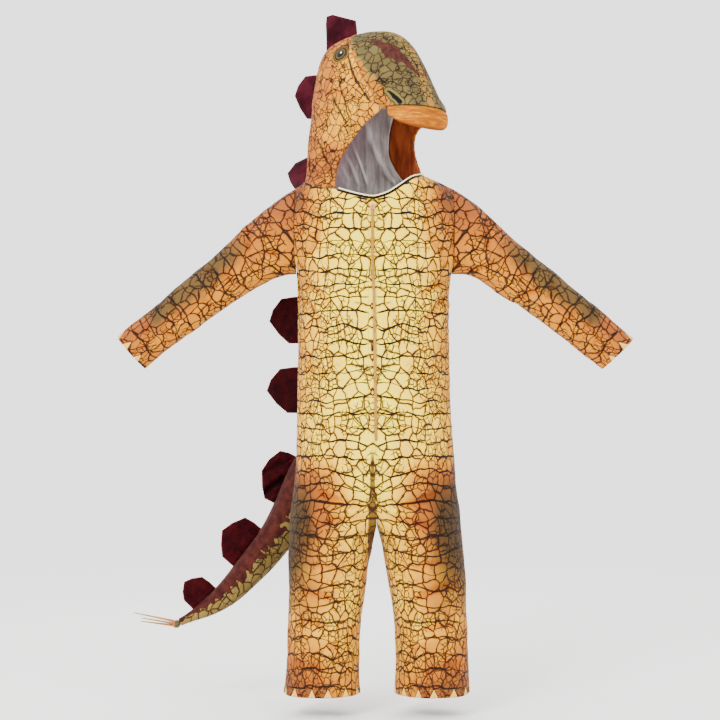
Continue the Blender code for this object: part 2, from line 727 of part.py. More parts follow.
# Plates: padded velvet shapes caught in the spine seam
PLATE_SHAPE = [
    # share along the base, share of the height
    (0.00, 0.30), (0.04, 0.66), (0.28, 0.90), (0.52, 1.00), (0.80, 0.74), (1.00, 0.46), (1.00, 0.20),
]
CREST_SHAPE = [
    (0.02, 0.45), (0.02, 0.85), (0.08, 1.00), (0.35, 0.85), (0.70, 0.58), (0.98, 0.40), (1.00, 0.15),
]
NAPE_SHAPE = [
    (0.00, 0.35), (0.03, 0.78), (0.20, 1.00), (0.42, 0.84), (0.68, 0.60), (1.00, 0.38), (1.00, 0.18),
]
CREST_LEAN = (0.23, -0.19, 0.20)
NAPE_LEAN = (-0.40, 0.10, 0.00)
SPINE_LEAN = (-1.50, 0.15, 0.00)
TAIL_LEAN = (-0.30, 0.00, -0.10)
PLATE_SEAT = 0.0007
PLATE_BASE_STEPS = 4
PLATE_RIM = 0.0013
PLATE_PUFF = 0.0042
PLATE_INSET = 0.74


def plate(name, seam, start, end, height, shape=PLATE_SHAPE, lean=(0.0, 0.0, 0.0)):
    """One plate: its base follows the seam from start to end, its tip stands off it."""
    _, straight = seam((start + end) / 2)
    outward = unit(straight + np.array(lean))
    seat = PLATE_SEAT + PLATE_RIM * math.sqrt(max(1 - (outward @ straight) ** 2, 0.0))
    base, rim = [], []
    for k in range(PLATE_BASE_STEPS + 1):
        point, out = seam(lerp(start, end, k / PLATE_BASE_STEPS))
        base.append(point + out * seat)
    for share, stand in shape:
        point, out = seam(lerp(start, end, share))
        rim.append(point + out * seat + outward * stand * height)
    outline = np.array(base + rim[::-1])
    centre = outline.mean(axis=0)
    along = unit(base[-1] - base[0])
    thick = unit(np.cross(along, outward))
    inset = lerp(centre, outline, PLATE_INSET)
    rings = [inset - thick * PLATE_PUFF, outline - thick * PLATE_RIM,
             outline + thick * PLATE_RIM, inset + thick * PLATE_PUFF]
    sweep(name, rings, VELVET)


def spine_seam(height):
    """The body's spine seam at a height, and the direction straight out of it."""
    turn = spine_turn(height)
    side = RIGHT if turn < 0 else LEFT
    if height > ARM_LOW:
        up = (height - ARM_LOW) / (ARM_TOP - ARM_LOW)
        point = yoke_point(abs(turn), side, "back", up)
        ahead = yoke_point(abs(turn) - 0.05, side, "back", up)
    else:
        point = trunk_point(abs(turn), side, "back", height)
        ahead = trunk_point(abs(turn) - 0.05, side, "back", height)
    run = ahead - point
    out = unit(np.array((run[1], -run[0], 0.0)))
    return point, out if out @ point > 0 else -out


def hood_seam(up):
    """The hood's spine seam, up from the neck to the crease."""
    point = hood_point(RIGHT, up, 1.0)
    run = hood_point(RIGHT, min(up + 0.03, 1.0), 1.0) - hood_point(RIGHT, max(up - 0.03, 0.0), 1.0)
    away = point - np.array((*HOOD_CENTRE, HOOD_INSIDE))
    return point, unit(away - unit(run) * (away @ unit(run)))


def build_plates(tail_seam):
    plate("plate_hood_1", hood_seam, 0.74, 0.985, 0.062, CREST_SHAPE, CREST_LEAN)
    plate("plate_hood_2", hood_seam, 0.60, 0.36, 0.058)
    plate("plate_hood_3", hood_seam, 0.18, 0.03, 0.072, NAPE_SHAPE, NAPE_LEAN)
    plate("plate_back_1", spine_seam, -0.055, -0.128, 0.064, lean=SPINE_LEAN)
    plate("plate_back_2", spine_seam, -0.181, -0.260, 0.066, lean=SPINE_LEAN)
    plate("plate_back_3", spine_seam, -0.300, -0.378, 0.070, lean=SPINE_LEAN)
    plate("plate_tail_1", tail_seam, 1.60, 3.05, 0.040)
    plate("plate_tail_2", tail_seam, 4.00, 6.05, 0.052)
    plate("plate_tail_3", tail_seam, 7.60, 9.50, 0.044, lean=TAIL_LEAN)


# Tail: a stuffed tube in two halves, from the back round to the wearer's right
TAIL = table("x y z radius", [
    (-0.0710, 0.080, -0.4300, 0.0420),
    (-0.0874, 0.122, -0.4535, 0.0412),
    (-0.1155, 0.120, -0.4950, 0.0391),
    (-0.1408, 0.110, -0.5492, 0.0350),
    (-0.1705, 0.100, -0.5966, 0.0297),
    (-0.2002, 0.092, -0.6328, 0.0283),
    (-0.2230, 0.086, -0.6570, 0.0252),
    (-0.2432, 0.080, -0.6802, 0.0227),
    (-0.2699, 0.074, -0.7017, 0.0185),
    (-0.2952, 0.070, -0.7165, 0.0129),
    (-0.3143, 0.067, -0.7263, 0.0080),
    (-0.3315, 0.065, -0.7345, 0.0064),
])
TAIL_SPOKES = 8
TAIL_ROOT_TILT = 0.35
TAIL_ROOT_RINGS = (0.34, 0.68, 1.0)
TAIL_ROOT_MIDDLE = 0.42
TAIL_SEAT = 0.0008


def back_surface(x, height):
    """How far back the trunk's cloth is at a place."""
    side = "right" if x < centre_x(height) else "left"
    middle = centre_x(height)
    share = abs(x - middle) / abs(read(SIDES, "height", height, side) - middle)
    deep = max(1 - share ** (2 / ROUNDNESS), 0.0) ** (ROUNDNESS / 2)
    return read(TRUNK, "height", height, "back") * deep


def tail_frame(station):
    """Middle, radius, ridge direction and rear direction at a place along the tail."""
    last = len(TAIL["x"]) - 1
    ticks = {"station": np.arange(last + 1.0), **TAIL}
    here = np.array([read(ticks, "station", station, axis) for axis in "xyz"])
    fore = np.array([read(ticks, "station", min(station + 0.5, last), axis) for axis in "xyz"])
    rear = np.array([read(ticks, "station", max(station - 0.5, 0), axis) for axis in "xyz"])
    along = unit(fore - rear)
    ridge = unit(np.array((along[2], 0.0, -along[0])))
    return here, read(ticks, "station", station, "radius"), ridge, unit(np.cross(along, ridge))


def tail_seam(station):
    middle, radius, ridge, _ = tail_frame(station)
    return middle + ridge * radius, ridge


def half_loop(side):
    """Shares along the ridge and to the rear for one half's section, round and then flat."""
    spots = [(math.cos(math.pi * k / TAIL_SPOKES), side * math.sin(math.pi * k / TAIL_SPOKES))
             for k in range(TAIL_SPOKES + 1)]
    return spots + [(-0.5, 0.0), (0.0, 0.0), (0.5, 0.0)]


def build_tail():
    """The viewer's side of the tail is its right, the far side its left."""
    for side, name in ((-1, "tail_right"), (1, "tail_left")):
        spots = half_loop(side)
        loops = []
        for station in range(1, len(TAIL["x"])):
            middle, radius, ridge, rear = tail_frame(float(station))
            loops.append([middle + ridge * radius * a + rear * (radius * b + side * SEAM / 2)
                          for a, b in spots])
        roots = []
        ridge = np.array((-TAIL_ROOT_TILT, math.sqrt(1 - TAIL_ROOT_TILT ** 2)))
        rear = np.array((ridge[1], -ridge[0]))
        centre = np.array((TAIL["x"][0], TAIL["z"][0])) + rear * side * TAIL["radius"][0] * TAIL_ROOT_MIDDLE
        for share in TAIL_ROOT_RINGS:
            root = []
            for a, b in spots:
                spot = np.array((TAIL["x"][0], TAIL["z"][0])) + TAIL["radius"][0] * (ridge * a + rear * b)
                flat = lerp(centre, spot + rear * side * SEAM, share)
                root.append((flat[0], back_surface(flat[0], flat[1]) + TAIL_SEAT, flat[1]))
            roots.append(root)
        sweep(name, loops, TAIL_COLOUR, root_loops=roots)


SPIKES = [
    # root direction in x and z from the knot, tip x, tip y, tip z
    (-0.65, 0.76, -0.4105, 0.062, -0.7177),
    (-0.97, 0.24, -0.3966, 0.058, -0.7261),
    (-0.93, -0.37, -0.3992, 0.073, -0.7339),
]
KNOT_RADIUS = 0.0060
SPIKE_RADIUS = (0.0021, 0.0008)


def ring_about(centre, along, radius, count=8):
    """A circle of points square to a direction."""
    across = unit(np.cross(along, np.array((0.0, 1.0, 0.3))))
    other = np.cross(along, across)
    return [centre + radius * (across * math.cos(2 * math.pi * k / count) + other * math.sin(2 * math.pi * k / count))
            for k in range(count)]


def build_tail_end():
    last = len(TAIL["x"]) - 1.0
    end, _, _, _ = tail_frame(last)
    before, _, _, _ = tail_frame(last - 1)
    along = unit(end - before)
    knot = end + along * (KNOT_RADIUS + 2 * SEAM)
    loops = [ring_about(knot - along * KNOT_RADIUS * math.cos(angle), along, KNOT_RADIUS * math.sin(angle))
             for angle in (0.35, 0.8, 1.3, 1.85, 2.35, 2.8)]
    sweep("tail_knot", loops, KNOT_COLOUR)
    for number, (root_x, root_z, x, y, z) in enumerate(SPIKES, start=1):
        tip = np.array((x, y, z))
        heading = unit(np.array((root_x, (y - 0.065) * 30, root_z)))
        root = knot + heading * (KNOT_RADIUS + SPIKE_RADIUS[0] * 0.45)
        way = unit(tip - root)
        rings = [ring_about(lerp(root, tip, share), way, lerp(*SPIKE_RADIUS, share)) for share in (0.0, 0.5, 1.0)]
        sweep(f"tail_spike_{number}", rings, STRAW, roughness=HARD_ROUGHNESS)


# Zip, slider and pull tab, with the bound neck edge
ZIP_TOP = -0.045
ZIP_LOW = -0.418
ZIP_WIDTH = 0.0042
ZIP_THICK = 0.0013
ZIP_STEPS = 24
SLIDER_HEIGHT = -0.0385
SLIDER = (0.0076, 0.0030, 0.0100)
EAR = (0.0012, 0.0026, 0.0030)
PULL = (0.0011, 0.0150)
PIVOT_HEIGHT = SLIDER_HEIGHT + 0.0010
PIVOT_RADIUS = 0.0011
PIVOT_LENGTH = 0.0030
BINDING_RADIUS = 0.0011


def front_edge(height, grids, normals):
    """The centre front at a height: the cloth's point and the way out."""
    column = grids[LEFT, "front"][:, 0]
    order = np.argsort(column[:, 2])
    point = [np.interp(height, column[order, 2], column[order, axis]) for axis in range(3)]
    out = [np.interp(height, column[order, 2], normals[LEFT, "front"][order, 0, axis]) for axis in range(3)]
    return np.array(point), unit(np.array(out) * np.array((0.0, 1.0, 1.0)))


def build_zip(grids, normals):
    strip, outs = [], []
    for k in range(ZIP_STEPS + 1):
        point, out = front_edge(lerp(ZIP_TOP, ZIP_LOW, k / ZIP_STEPS), grids, normals)
        raised = point + out * (ZIP_THICK + 0.0005)
        strip.append([raised + np.array((shift * ZIP_WIDTH / 2, 0.0, 0.0)) for shift in (-1, 0, 1)])
        outs.append([out] * 3)
    wall("zip_tape", np.array(strip), np.array(outs), ZIP_THICK, TAPE_COLOUR)
    point, out = front_edge(SLIDER_HEIGHT, grids, normals)
    face = point[1] - SLIDER[1] - 0.0011
    centre = np.array((point[0], face + SLIDER[1] / 2, SLIDER_HEIGHT))
    build_slider(centre, face)
    return np.array((point[0], face - PIVOT_RADIUS - SEAM, PIVOT_HEIGHT))


def build_slider(centre, face):
    """The slider's body, with two ears on its face that hold the pull tab's pin."""
    half_width, half_height = SLIDER[0] / 2, SLIDER[2] / 2
    inner = PIVOT_LENGTH / 2 + SEAM
    outer = inner + EAR[0]
    low = PIVOT_HEIGHT - EAR[2] / 2
    high = PIVOT_HEIGHT + EAR[2] / 2
    back, tip = face + SLIDER[1], face - EAR[1]
    stations = [-half_width, -outer, -inner, inner, outer, half_width]
    profile = [(back, centre[2] - half_height), (back, centre[2] + half_height),
               (face, centre[2] + half_height), (face, high), (face, low), (face, centre[2] - half_height)]
    count = len(profile)
    points = [(centre[0] + station, y, z) for station in stations for y, z in profile]
    faces = [tuple(range(count)), tuple(reversed(range(5 * count, 6 * count)))]
    for span in range(len(stations) - 1):
        eared = span in (1, 3)
        for k in range(count):
            a = span * count + k
            b = span * count + (k + 1) % count
            if not (eared and k == 3):
                faces.append((b, a, a + count, b + count))
    for span in (1, 3):
        first = len(points)
        for station in (stations[span], stations[span + 1]):
            points += [(centre[0] + station, tip, high), (centre[0] + station, tip, low)]
        a_high, a_low = span * count + 3, span * count + 4
        b_high, b_low = a_high + count, a_low + count
        faces += [(a_high, b_high, first + 2, first), (first, first + 2, first + 3, first + 1),
                  (first + 1, first + 3, b_low, a_low), (a_high, first, first + 1, a_low),
                  (b_high, b_low, first + 3, first + 2)]
    solid("zip_slider", points, faces, SLIDER_COLOUR, HARD_ROUGHNESS)


def build_pull(pivot):
    """The pull tab: a pin between the ears and a flat tab that hangs from it."""
    arc = [math.radians(angle) for angle in range(-40, 221, 26)]
    profile = [(PIVOT_RADIUS * math.cos(angle), PIVOT_RADIUS * math.sin(angle)) for angle in arc]
    profile += [(-PULL[0] / 2, -PULL[1]), (PULL[0] / 2, -PULL[1])]
    loops = [[(x, y, z) for y, z in profile] for x in (-PIVOT_LENGTH / 2, PIVOT_LENGTH / 2)]
    tab = sweep("zip_pull", loops, PULL_COLOUR, roughness=HARD_ROUGHNESS)
    tab.location = pivot


def build_binding():
    """A narrow roll on the free neck edge, from one corner of the hood to the other."""
    places = [neck_point(turn, LEFT) for turn in np.linspace(-0.29, 1.0, 27)]
    places = [place + np.array((0.0, 0.0, BINDING_RADIUS + 2 * SEAM)) for place in places]
    loops = []
    for k, place in enumerate(places):
        along = unit(places[min(k + 1, len(places) - 1)] - places[max(k - 1, 0)])
        loops.append(ring_about(place, along, BINDING_RADIUS, 6))
    sweep("neck_binding", loops, CREAM)


def build():
    for item in list(bpy.data.objects):
        bpy.data.objects.remove(item)
    grids, normals = build_body()
    build_sleeves(grids)
    build_hood()
    build_tail()
    build_tail_end()
    build_plates(tail_seam)
    pivot = build_zip(grids, normals)
    build_pull(pivot)
    build_binding()


build()
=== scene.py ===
import math

import bmesh
import bpy
import numpy as np
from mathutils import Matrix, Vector
from mathutils.bvhtree import BVHTree
from mathutils.kdtree import KDTree


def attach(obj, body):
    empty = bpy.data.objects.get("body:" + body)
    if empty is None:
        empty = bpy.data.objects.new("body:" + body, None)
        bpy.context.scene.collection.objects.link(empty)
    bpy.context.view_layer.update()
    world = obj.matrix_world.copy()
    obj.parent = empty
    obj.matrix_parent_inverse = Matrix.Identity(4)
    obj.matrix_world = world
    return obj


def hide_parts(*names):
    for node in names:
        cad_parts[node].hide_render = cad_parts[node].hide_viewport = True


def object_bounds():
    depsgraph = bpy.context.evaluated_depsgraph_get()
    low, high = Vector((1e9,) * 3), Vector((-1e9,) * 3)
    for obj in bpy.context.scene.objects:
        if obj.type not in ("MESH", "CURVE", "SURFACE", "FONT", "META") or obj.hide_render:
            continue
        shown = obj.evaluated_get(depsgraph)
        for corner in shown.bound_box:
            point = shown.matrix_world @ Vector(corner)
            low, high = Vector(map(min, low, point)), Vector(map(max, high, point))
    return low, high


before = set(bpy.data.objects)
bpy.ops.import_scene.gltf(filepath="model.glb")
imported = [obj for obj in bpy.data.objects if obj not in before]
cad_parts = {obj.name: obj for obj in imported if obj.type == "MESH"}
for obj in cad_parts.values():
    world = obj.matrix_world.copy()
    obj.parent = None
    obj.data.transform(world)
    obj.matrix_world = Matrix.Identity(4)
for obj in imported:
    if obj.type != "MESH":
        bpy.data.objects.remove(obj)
solid_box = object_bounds()

# Studio: a pale floor that fades into the white room, three soft lamps, and the camera
# straight in front of the suit at three metres, where the photograph was taken from.
FLOOR_DROP = 0.035
FLOOR_RADIUS = 2.6
FLOOR_FADE = (0.9, 2.5)
CAMERA_PLACE = (-0.025, -3.0, -0.288)
VIEW_WIDTH = 1.2
ROOM_LIGHT = 2.4


def hue(code):
    """A colour from its usual six-figure code, in the linear values that shaders take."""
    parts = [int(code[k:k + 2], 16) / 255 for k in (1, 3, 5)]
    return (*[c / 12.92 if c <= 0.04045 else ((c + 0.055) / 1.055) ** 2.4 for c in parts], 1.0)


class Dye:
    """One socket of a material, so that shades and patterns are written as plain sums."""

    def __init__(self, tree, socket):
        self.tree = tree
        self.socket = socket

    def node(self, kind, settings, sockets, output=0):
        """Any node: its settings first, then the values or links of its sockets."""
        made = self.tree.nodes.new(kind)
        for name, value in settings.items():
            if name == "stops":
                ramp = made.color_ramp.elements
                while len(ramp) < len(value):
                    ramp.new(0.5)
                for stop, (place, code) in zip(ramp, value):
                    stop.position = place
                    stop.color = hue(code)
            else:
                setattr(made, name, value)
        for name, value in sockets.items():
            if isinstance(value, Dye):
                self.tree.links.new(value.socket, made.inputs[name])
            else:
                made.inputs[name].default_value = value
        return Dye(self.tree, made.outputs[output])

    def math(self, operation, *values):
        return self.node("ShaderNodeMath", {"operation": operation}, dict(enumerate(values)))

    def __add__(self, other):
        return self.math("ADD", self, other)

    def __radd__(self, other):
        return self.math("ADD", other, self)

    def __sub__(self, other):
        return self.math("SUBTRACT", self, other)

    def __rsub__(self, other):
        return self.math("SUBTRACT", other, self)

    def __mul__(self, other):
        return self.math("MULTIPLY", self, other)

    def __rmul__(self, other):
        return self.math("MULTIPLY", other, self)

    def __truediv__(self, other):
        return self.math("DIVIDE", self, other)

    def __pow__(self, other):
        return self.math("POWER", self, other)

    def __abs__(self):
        return self.math("ABSOLUTE", self)

    def over(self, other):
        """The larger of two values."""
        return self.math("MAXIMUM", self, other)

    def under(self, other):
        """The smaller of two values."""
        return self.math("MINIMUM", self, other)

    def rise(self, low, high):
        """0 where this value is low, 1 where it is high, smooth between; either may be the larger."""
        return self.node("ShaderNodeMapRange", {"interpolation_type": "SMOOTHSTEP"},
                         {"Value": self, "From Min": low, "From Max": high})

    def between(self, low, high, blend="MIX"):
        """Two colours mixed by this value."""
        return self.node("ShaderNodeMix", {"data_type": "RGBA", "blend_type": blend},
                         {0: self, 6: low, 7: high}, 2)

    def vector(self, operation, other):
        """This vector taken with another, as in Vector Math."""
        return self.node("ShaderNodeVectorMath", {"operation": operation}, {0: self, 1: other})

    def parts(self):
        """The three measures of a vector."""
        split = self.tree.nodes.new("ShaderNodeSeparateXYZ")
        self.tree.links.new(self.socket, split.inputs[0])
        return [Dye(self.tree, output) for output in split.outputs]

    def joined(self, y, z):
        """A vector from this value and two others."""
        return self.node("ShaderNodeCombineXYZ", {}, {"X": self, "Y": y, "Z": z})

    def mark(self, name):
        """A measure kept at each point of the piece."""
        return self.node("ShaderNodeAttribute", {"attribute_name": name}, {}, "Fac")

    def away(self, spot):
        """How far this place is from another."""
        return self.node("ShaderNodeVectorMath", {"operation": "DISTANCE"}, {0: self, 1: spot}, "Value")

    def near(self, start, end):
        """How far this place is from a straight line, and how much of the line it is along."""
        run = Vector(end) - Vector(start)
        offset = self.vector("SUBTRACT", tuple(start))
        share = offset.node("ShaderNodeVectorMath", {"operation": "DOT_PRODUCT"},
                            {0: offset, 1: tuple(run / run.length_squared)}, "Value")
        share = share.over(0.0).under(1.0)
        foot = share.node("ShaderNodeVectorMath", {"operation": "MULTIPLY_ADD"},
                          {0: share, 1: tuple(run), 2: tuple(start)})
        return self.away(foot), share

    def noise(self, scale, detail=2.0, roughness=0.5):
        """Cloudy values round a half, from this place."""
        return self.node("ShaderNodeTexNoise", {}, {"Vector": self, "Scale": scale, "Detail": detail,
                                                    "Roughness": roughness})

    def stirred(self, scale, reach):
        """This place pushed about unevenly, by up to half of reach either way."""
        swing = self.node("ShaderNodeTexNoise", {}, {"Vector": self, "Scale": scale}, 1)
        return self.vector("ADD", swing.vector("SUBTRACT", (0.5, 0.5, 0.5)).vector("MULTIPLY", reach))

    def graded(self, stops):
        """The colour that this value picks from stops along a scale."""
        return self.node("ShaderNodeValToRGB", {"stops": stops}, {"Fac": self})

    def shades(self, low, high, dark, light):
        """A dark colour where this value is low, a light one where it is high."""
        return self.rise(low, high).between(hue(dark), hue(light))


def finish(name, roughness, **uniform):
    """A new material: itself, its shader, and the place on the piece to build patterns from."""
    made = bpy.data.materials.new(name)
    made.use_nodes = True
    tree = made.node_tree
    shader = tree.nodes["Principled BSDF"]
    shader.inputs["Roughness"].default_value = roughness
    for socket, value in uniform.items():
        shader.inputs[socket.replace("_", " ")].default_value = value
    return made, shader, Dye(tree, tree.nodes.new("ShaderNodeTexCoord").outputs["Object"])


def paint(shader, socket, dye):
    dye.tree.links.new(dye.socket, shader.inputs[socket])


def relief(shader, height, distance, strength=1.0):
    """Fine relief on a surface: height runs from 0 to 1 and is distance deep."""
    paint(shader, "Normal", height.node("ShaderNodeBump", {}, {"Height": height, "Distance": distance,
                                                               "Strength": strength}))


floor_finish, floor_shader, floor_place = finish("pale_floor", 0.9, Base_Color=hue("#F4F3F1"))
distance = floor_place.node("ShaderNodeVectorMath", {"operation": "LENGTH"}, {0: floor_place}, "Value")
paint(floor_shader, "Alpha", distance.rise(FLOOR_FADE[1], FLOOR_FADE[0]))
bpy.ops.mesh.primitive_circle_add(vertices=96, radius=FLOOR_RADIUS, fill_type="NGON",
                                  location=(0.0, 0.0, solid_box[0][2] - FLOOR_DROP))
floor = bpy.context.object
floor.name = "floor"
floor.data.materials.append(floor_finish)

world = bpy.data.worlds.new("white_room")
world.use_nodes = True
world.node_tree.nodes["Background"].inputs["Color"].default_value = hue("#FFFFFF")
world.node_tree.nodes["Background"].inputs["Strength"].default_value = ROOM_LIGHT
bpy.context.scene.world = world

for name, place, size, power in (("key_lamp", (-1.5, -2.6, 1.5), 1.2, 132.0),
                                 ("fill_lamp", (2.2, -2.2, 0.4), 2.0, 24.0),
                                 ("back_lamp", (0.3, 2.4, 1.6), 1.6, 40.0)):
    lamp = bpy.data.lights.new(name, "AREA")
    lamp.size = size
    lamp.energy = power
    holder = bpy.data.objects.new(name, lamp)
    holder.location = place
    holder.rotation_euler = (Vector((0.0, 0.0, -0.3)) - Vector(place)).to_track_quat("-Z", "Y").to_euler()
    bpy.context.scene.collection.objects.link(holder)

camera = bpy.data.cameras.new("camera")
camera.sensor_width = 36.0
camera.lens = 36.0 * -CAMERA_PLACE[1] / VIEW_WIDTH
view = bpy.data.objects.new("camera", camera)
view.location = CAMERA_PLACE
view.rotation_euler = (math.radians(90.0), 0.0, 0.0)
bpy.context.scene.collection.objects.link(view)
bpy.context.scene.camera = view


# Fronts and backs: four pieces of brushed jersey, cut from neckline to trouser hem and
# printed with cracked scales, which mirror each other from side to side. They meet at the
# zip, in a seam down to the crotch, at the sides, and at the spine seam behind.
CENTRE_X = -0.0047
HEM = -0.842
FORK = -0.50
TRUNK_HALF = (0.130, 0.088)
LEG_HALF = (0.061, 0.064)
LEG_X = {"right": -0.0860, "left": 0.0920}
CLOTH_LEVEL = 3
RIM_ANGLE = math.radians(50)
RIM_REACH = 0.02
CREASING = 1.5
DEEP_FOLD = 0.0050
HEM_STITCHING = HEM + 0.0135

CRACK = "#150A07"
THIN_CRACK = "#21130A"
CREAM = "#FBDF30"
GOLD = "#C88216"
ORANGE = "#A45C13"
BROWN = "#74401C"
OLIVE = "#453C20"
PALE = "#E9B656"
# Brown tint for the print's halo round its cracks, and for the painted shade in crease troughs.
HALO_AND_SHADE = "#D99A50"
TOOTH = (0.0215, 0.0105, 0.0155)


def smooth(value, low, high):
    """0 at low and 1 at high, smooth between."""
    share = np.clip((value - low) / (high - low), 0.0, 1.0)
    return share * share * (3 - 2 * share)


def points_of(mesh):
    flat = np.empty(len(mesh.vertices) * 3)
    mesh.vertices.foreach_get("co", flat)
    return flat.reshape(-1, 3)


def outline_of(mesh):
    """How far each point is from the nearest sharp edge, up to the rim's reach."""
    work = bmesh.new()
    work.from_mesh(mesh)
    tree = KDTree(len(work.edges) * 2)
    for edge in work.edges:
        if edge.is_manifold and edge.calc_face_angle(0.0) > RIM_ANGLE:
            for vert in edge.verts:
                tree.insert(vert.co, vert.index)
    tree.balance()
    found = [tree.find(vert.co)[2] for vert in work.verts]
    work.free()
    return np.array([RIM_REACH if away is None else min(away, RIM_REACH) for away in found])


def uneven(points, size):
    """Soft swells from -1 to 1, about size apart, as cloth never lies quite even."""
    total = np.zeros(len(points))
    for k, (a, b, c) in enumerate(((1.0, 0.4, 0.7), (-0.6, 0.9, 0.8), (0.5, -0.7, 1.3), (-1.1, -0.3, 0.5),
                                   (0.2, 1.2, -0.9))):
        total += np.sin(2 * math.pi * (points @ np.array((a, b, c))) / size + 1.7 * k)
    return total / 5


def pressed(flat, creases):
    """How far creases move the cloth out: flat holds each point's two measures on the cloth.

    A crease, given in millimetres, runs from one place to another, bowed by its bend. It is a
    soft trough with a raised lip on one side, and dies away at both ends."""
    shift = np.zeros(len(flat))
    for x0, z0, x1, z1, bend, width, depth in np.array(creases) / 1000:
        start, run = np.array((x0, z0)), np.array((x1 - x0, z1 - z0))
        length = np.linalg.norm(run)
        way = run / length
        share = ((flat - start) @ way) / length
        bow = bend * np.sin(np.pi * np.clip(share, 0, 1))
        off = (flat - start) @ np.array((-way[1], way[0])) - bow
        fade = smooth(share, 0.0, 0.3) * smooth(share, 1.0, 0.7)
        trough = np.exp(-(off / width) ** 2)
        lip = np.exp(-((off - 1.8 * width) / (1.1 * width)) ** 2)
        shift += fade * depth * (0.55 * lip - trough)
    return shift


def in_view(points):
    """Where points show in the photograph, in metres across and up at the suit's middle."""
    scale = 1 / (1 + points[:, 1] / -CAMERA_PLACE[1])
    return np.stack([CAMERA_PLACE[0] + (points[:, 0] - CAMERA_PLACE[0]) * scale,
                     CAMERA_PLACE[2] + (points[:, 2] - CAMERA_PLACE[2]) * scale], axis=1)


def smoothed(node, level, kind="CATMULL_CLARK"):
    """A new mesh with a solid's own form, made of finer faces, rounder unless its kind is SIMPLE."""
    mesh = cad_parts[node].data.copy()
    mesh.materials.clear()
    work = bmesh.new()
    work.from_mesh(mesh)
    bmesh.ops.remove_doubles(work, verts=work.verts, dist=1e-5)
    bmesh.ops.join_triangles(work, faces=work.faces, angle_face_threshold=math.radians(35),
                             angle_shape_threshold=math.radians(60))
    sharp = work.edges.layers.float.get("crease_edge") or work.edges.layers.float.new("crease_edge")
    for edge in work.edges:
        if edge.is_manifold and edge.calc_face_angle(0.0) > RIM_ANGLE:
            edge[sharp] = 1.0
    work.to_mesh(mesh)
    work.free()
    piece = bpy.data.objects.new(node + "_piece", mesh)
    bpy.context.scene.collection.objects.link(piece)
    rounding = piece.modifiers.new("rounding", "SUBSURF")
    rounding.subdivision_type = kind
    rounding.levels = level
    rounding.render_levels = level
    bpy.context.view_layer.update()
    shaped = piece.evaluated_get(bpy.context.evaluated_depsgraph_get())
    piece.data = bpy.data.meshes.new_from_object(shaped)
    piece.modifiers.clear()
    return piece


def marked(piece, name, values):
    """Keeps a measure at each point of the piece for its material."""
    field = piece.data.attributes.new(name, "FLOAT", "POINT")
    field.data.foreach_set("value", np.asarray(values, dtype=np.float32))


def dressed(piece, node, material, move=None, body="suit"):
    """Moves the piece's points by move, gives it its finish, and puts it in the node's place."""
    mesh = piece.data
    if move is not None:
        mesh.vertices.foreach_set("co", (points_of(mesh) + move).ravel())
    mesh.materials.clear()
    mesh.materials.append(material)
    mesh.shade_smooth()
    mesh.set_sharp_from_angle(angle=RIM_ANGLE)
    mesh.update()
    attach(piece, body)
    if node:
        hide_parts(node)
    return piece


def cells(flat, size, shift=(0.0, 0.0, 0.0), kind="3D"):
    """Scales of a size: how near their border a place is, in shares of the size, and a value for each."""
    moved = flat.vector("ADD", shift)
    border = moved.node("ShaderNodeTexVoronoi", {"feature": "DISTANCE_TO_EDGE", "voronoi_dimensions": kind},
                        {"Vector": moved, "Scale": 1 / size}, "Distance")
    own = moved.node("ShaderNodeTexVoronoi", {"feature": "F1", "voronoi_dimensions": kind},
                     {"Vector": moved, "Scale": 1 / size}, "Color").parts()
    return border, own[0]


def scaly(flat, level, warm, stops, size=0.0215, bands=1.0, thin=THIN_CRACK, fine=0.92, kind="2D",
          moss=None):
    """The cracked print. flat is the cloth's place, mirrored where the print is, level counts the
    thick lines that cross it, warm picks the ground's colour from the stops, moss turns it olive."""
    wavy = flat.stirred(55.0, (0.012, 0.012, 0.012))
    border, own = cells(wavy.vector("MULTIPLY", (1.0, 0.86, 1.0)), size, kind=kind)
    fine_border = cells(wavy, size * 0.50, (0.31, 0.17, 0.23), kind)[0]
    shade = warm + (own - 0.5) * 0.15
    ground = shade.graded(stops)
    if moss is not None:
        ground = moss.between(ground, hue(OLIVE))
    edge = border.rise(0.20, 0.02) * 0.45
    tinted = edge.between(ground, hue(HALO_AND_SHADE), "MULTIPLY")
    reach = 0.7 if kind == "3D" else 1.0
    cracks = border.rise(0.072 * reach, 0.040 * reach)
    patchy = flat.vector("ADD", (3.1, 1.7, 0.4)).noise(26.0, 1.0)
    small = fine_border.rise(0.120 * reach, 0.065 * reach) * patchy.rise(0.45, 0.53) * fine
    printed = (cracks.over(small) * 0.97).between(tinted, hue(thin))
    drift = flat.vector("MULTIPLY", (1.0, 0.6, 1.0)).noise(13.0, 2.0) - 0.5
    jag = flat.noise(110.0, 1.0) - 0.5
    line = level + drift * 1.7 + jag * 0.09
    off = line.math("PINGPONG", line, 0.5)
    run = flat.vector("MULTIPLY", (1.0, 2.2, 1.0)).vector("ADD", (0.7, 2.3, 1.1)).noise(17.0, 1.0)
    width = run.rise(0.30, 0.52) * 0.034 + 0.026
    thick = off.rise(width * 1.3, width * 0.8) * bands
    return thick.between(printed, hue(CRACK))


def toothed(printed, across, rise_up):
    """Pale teeth along a hem, each with a dark outline."""
    away = (across + TOOTH[0]).math("PINGPONG", across + TOOTH[0], TOOTH[0])
    peak = (TOOTH[1] - away) * (TOOTH[2] / TOOTH[1])
    inside = (peak - rise_up).rise(0.0, 0.0006)
    outline = abs(peak - rise_up).rise(0.0016, 0.0009) * peak.rise(-0.0006, 0.0)
    filled = (inside * 0.85).between(printed, hue(PALE))
    return outline.between(filled, hue(CRACK))


def crease_shaded(printed, place):
    """The print, with painted shade in the troughs of creases."""
    return (place.mark("fold").rise(-0.15, -1.0) * 0.55).between(printed, hue(HALO_AND_SHADE), "MULTIPLY")


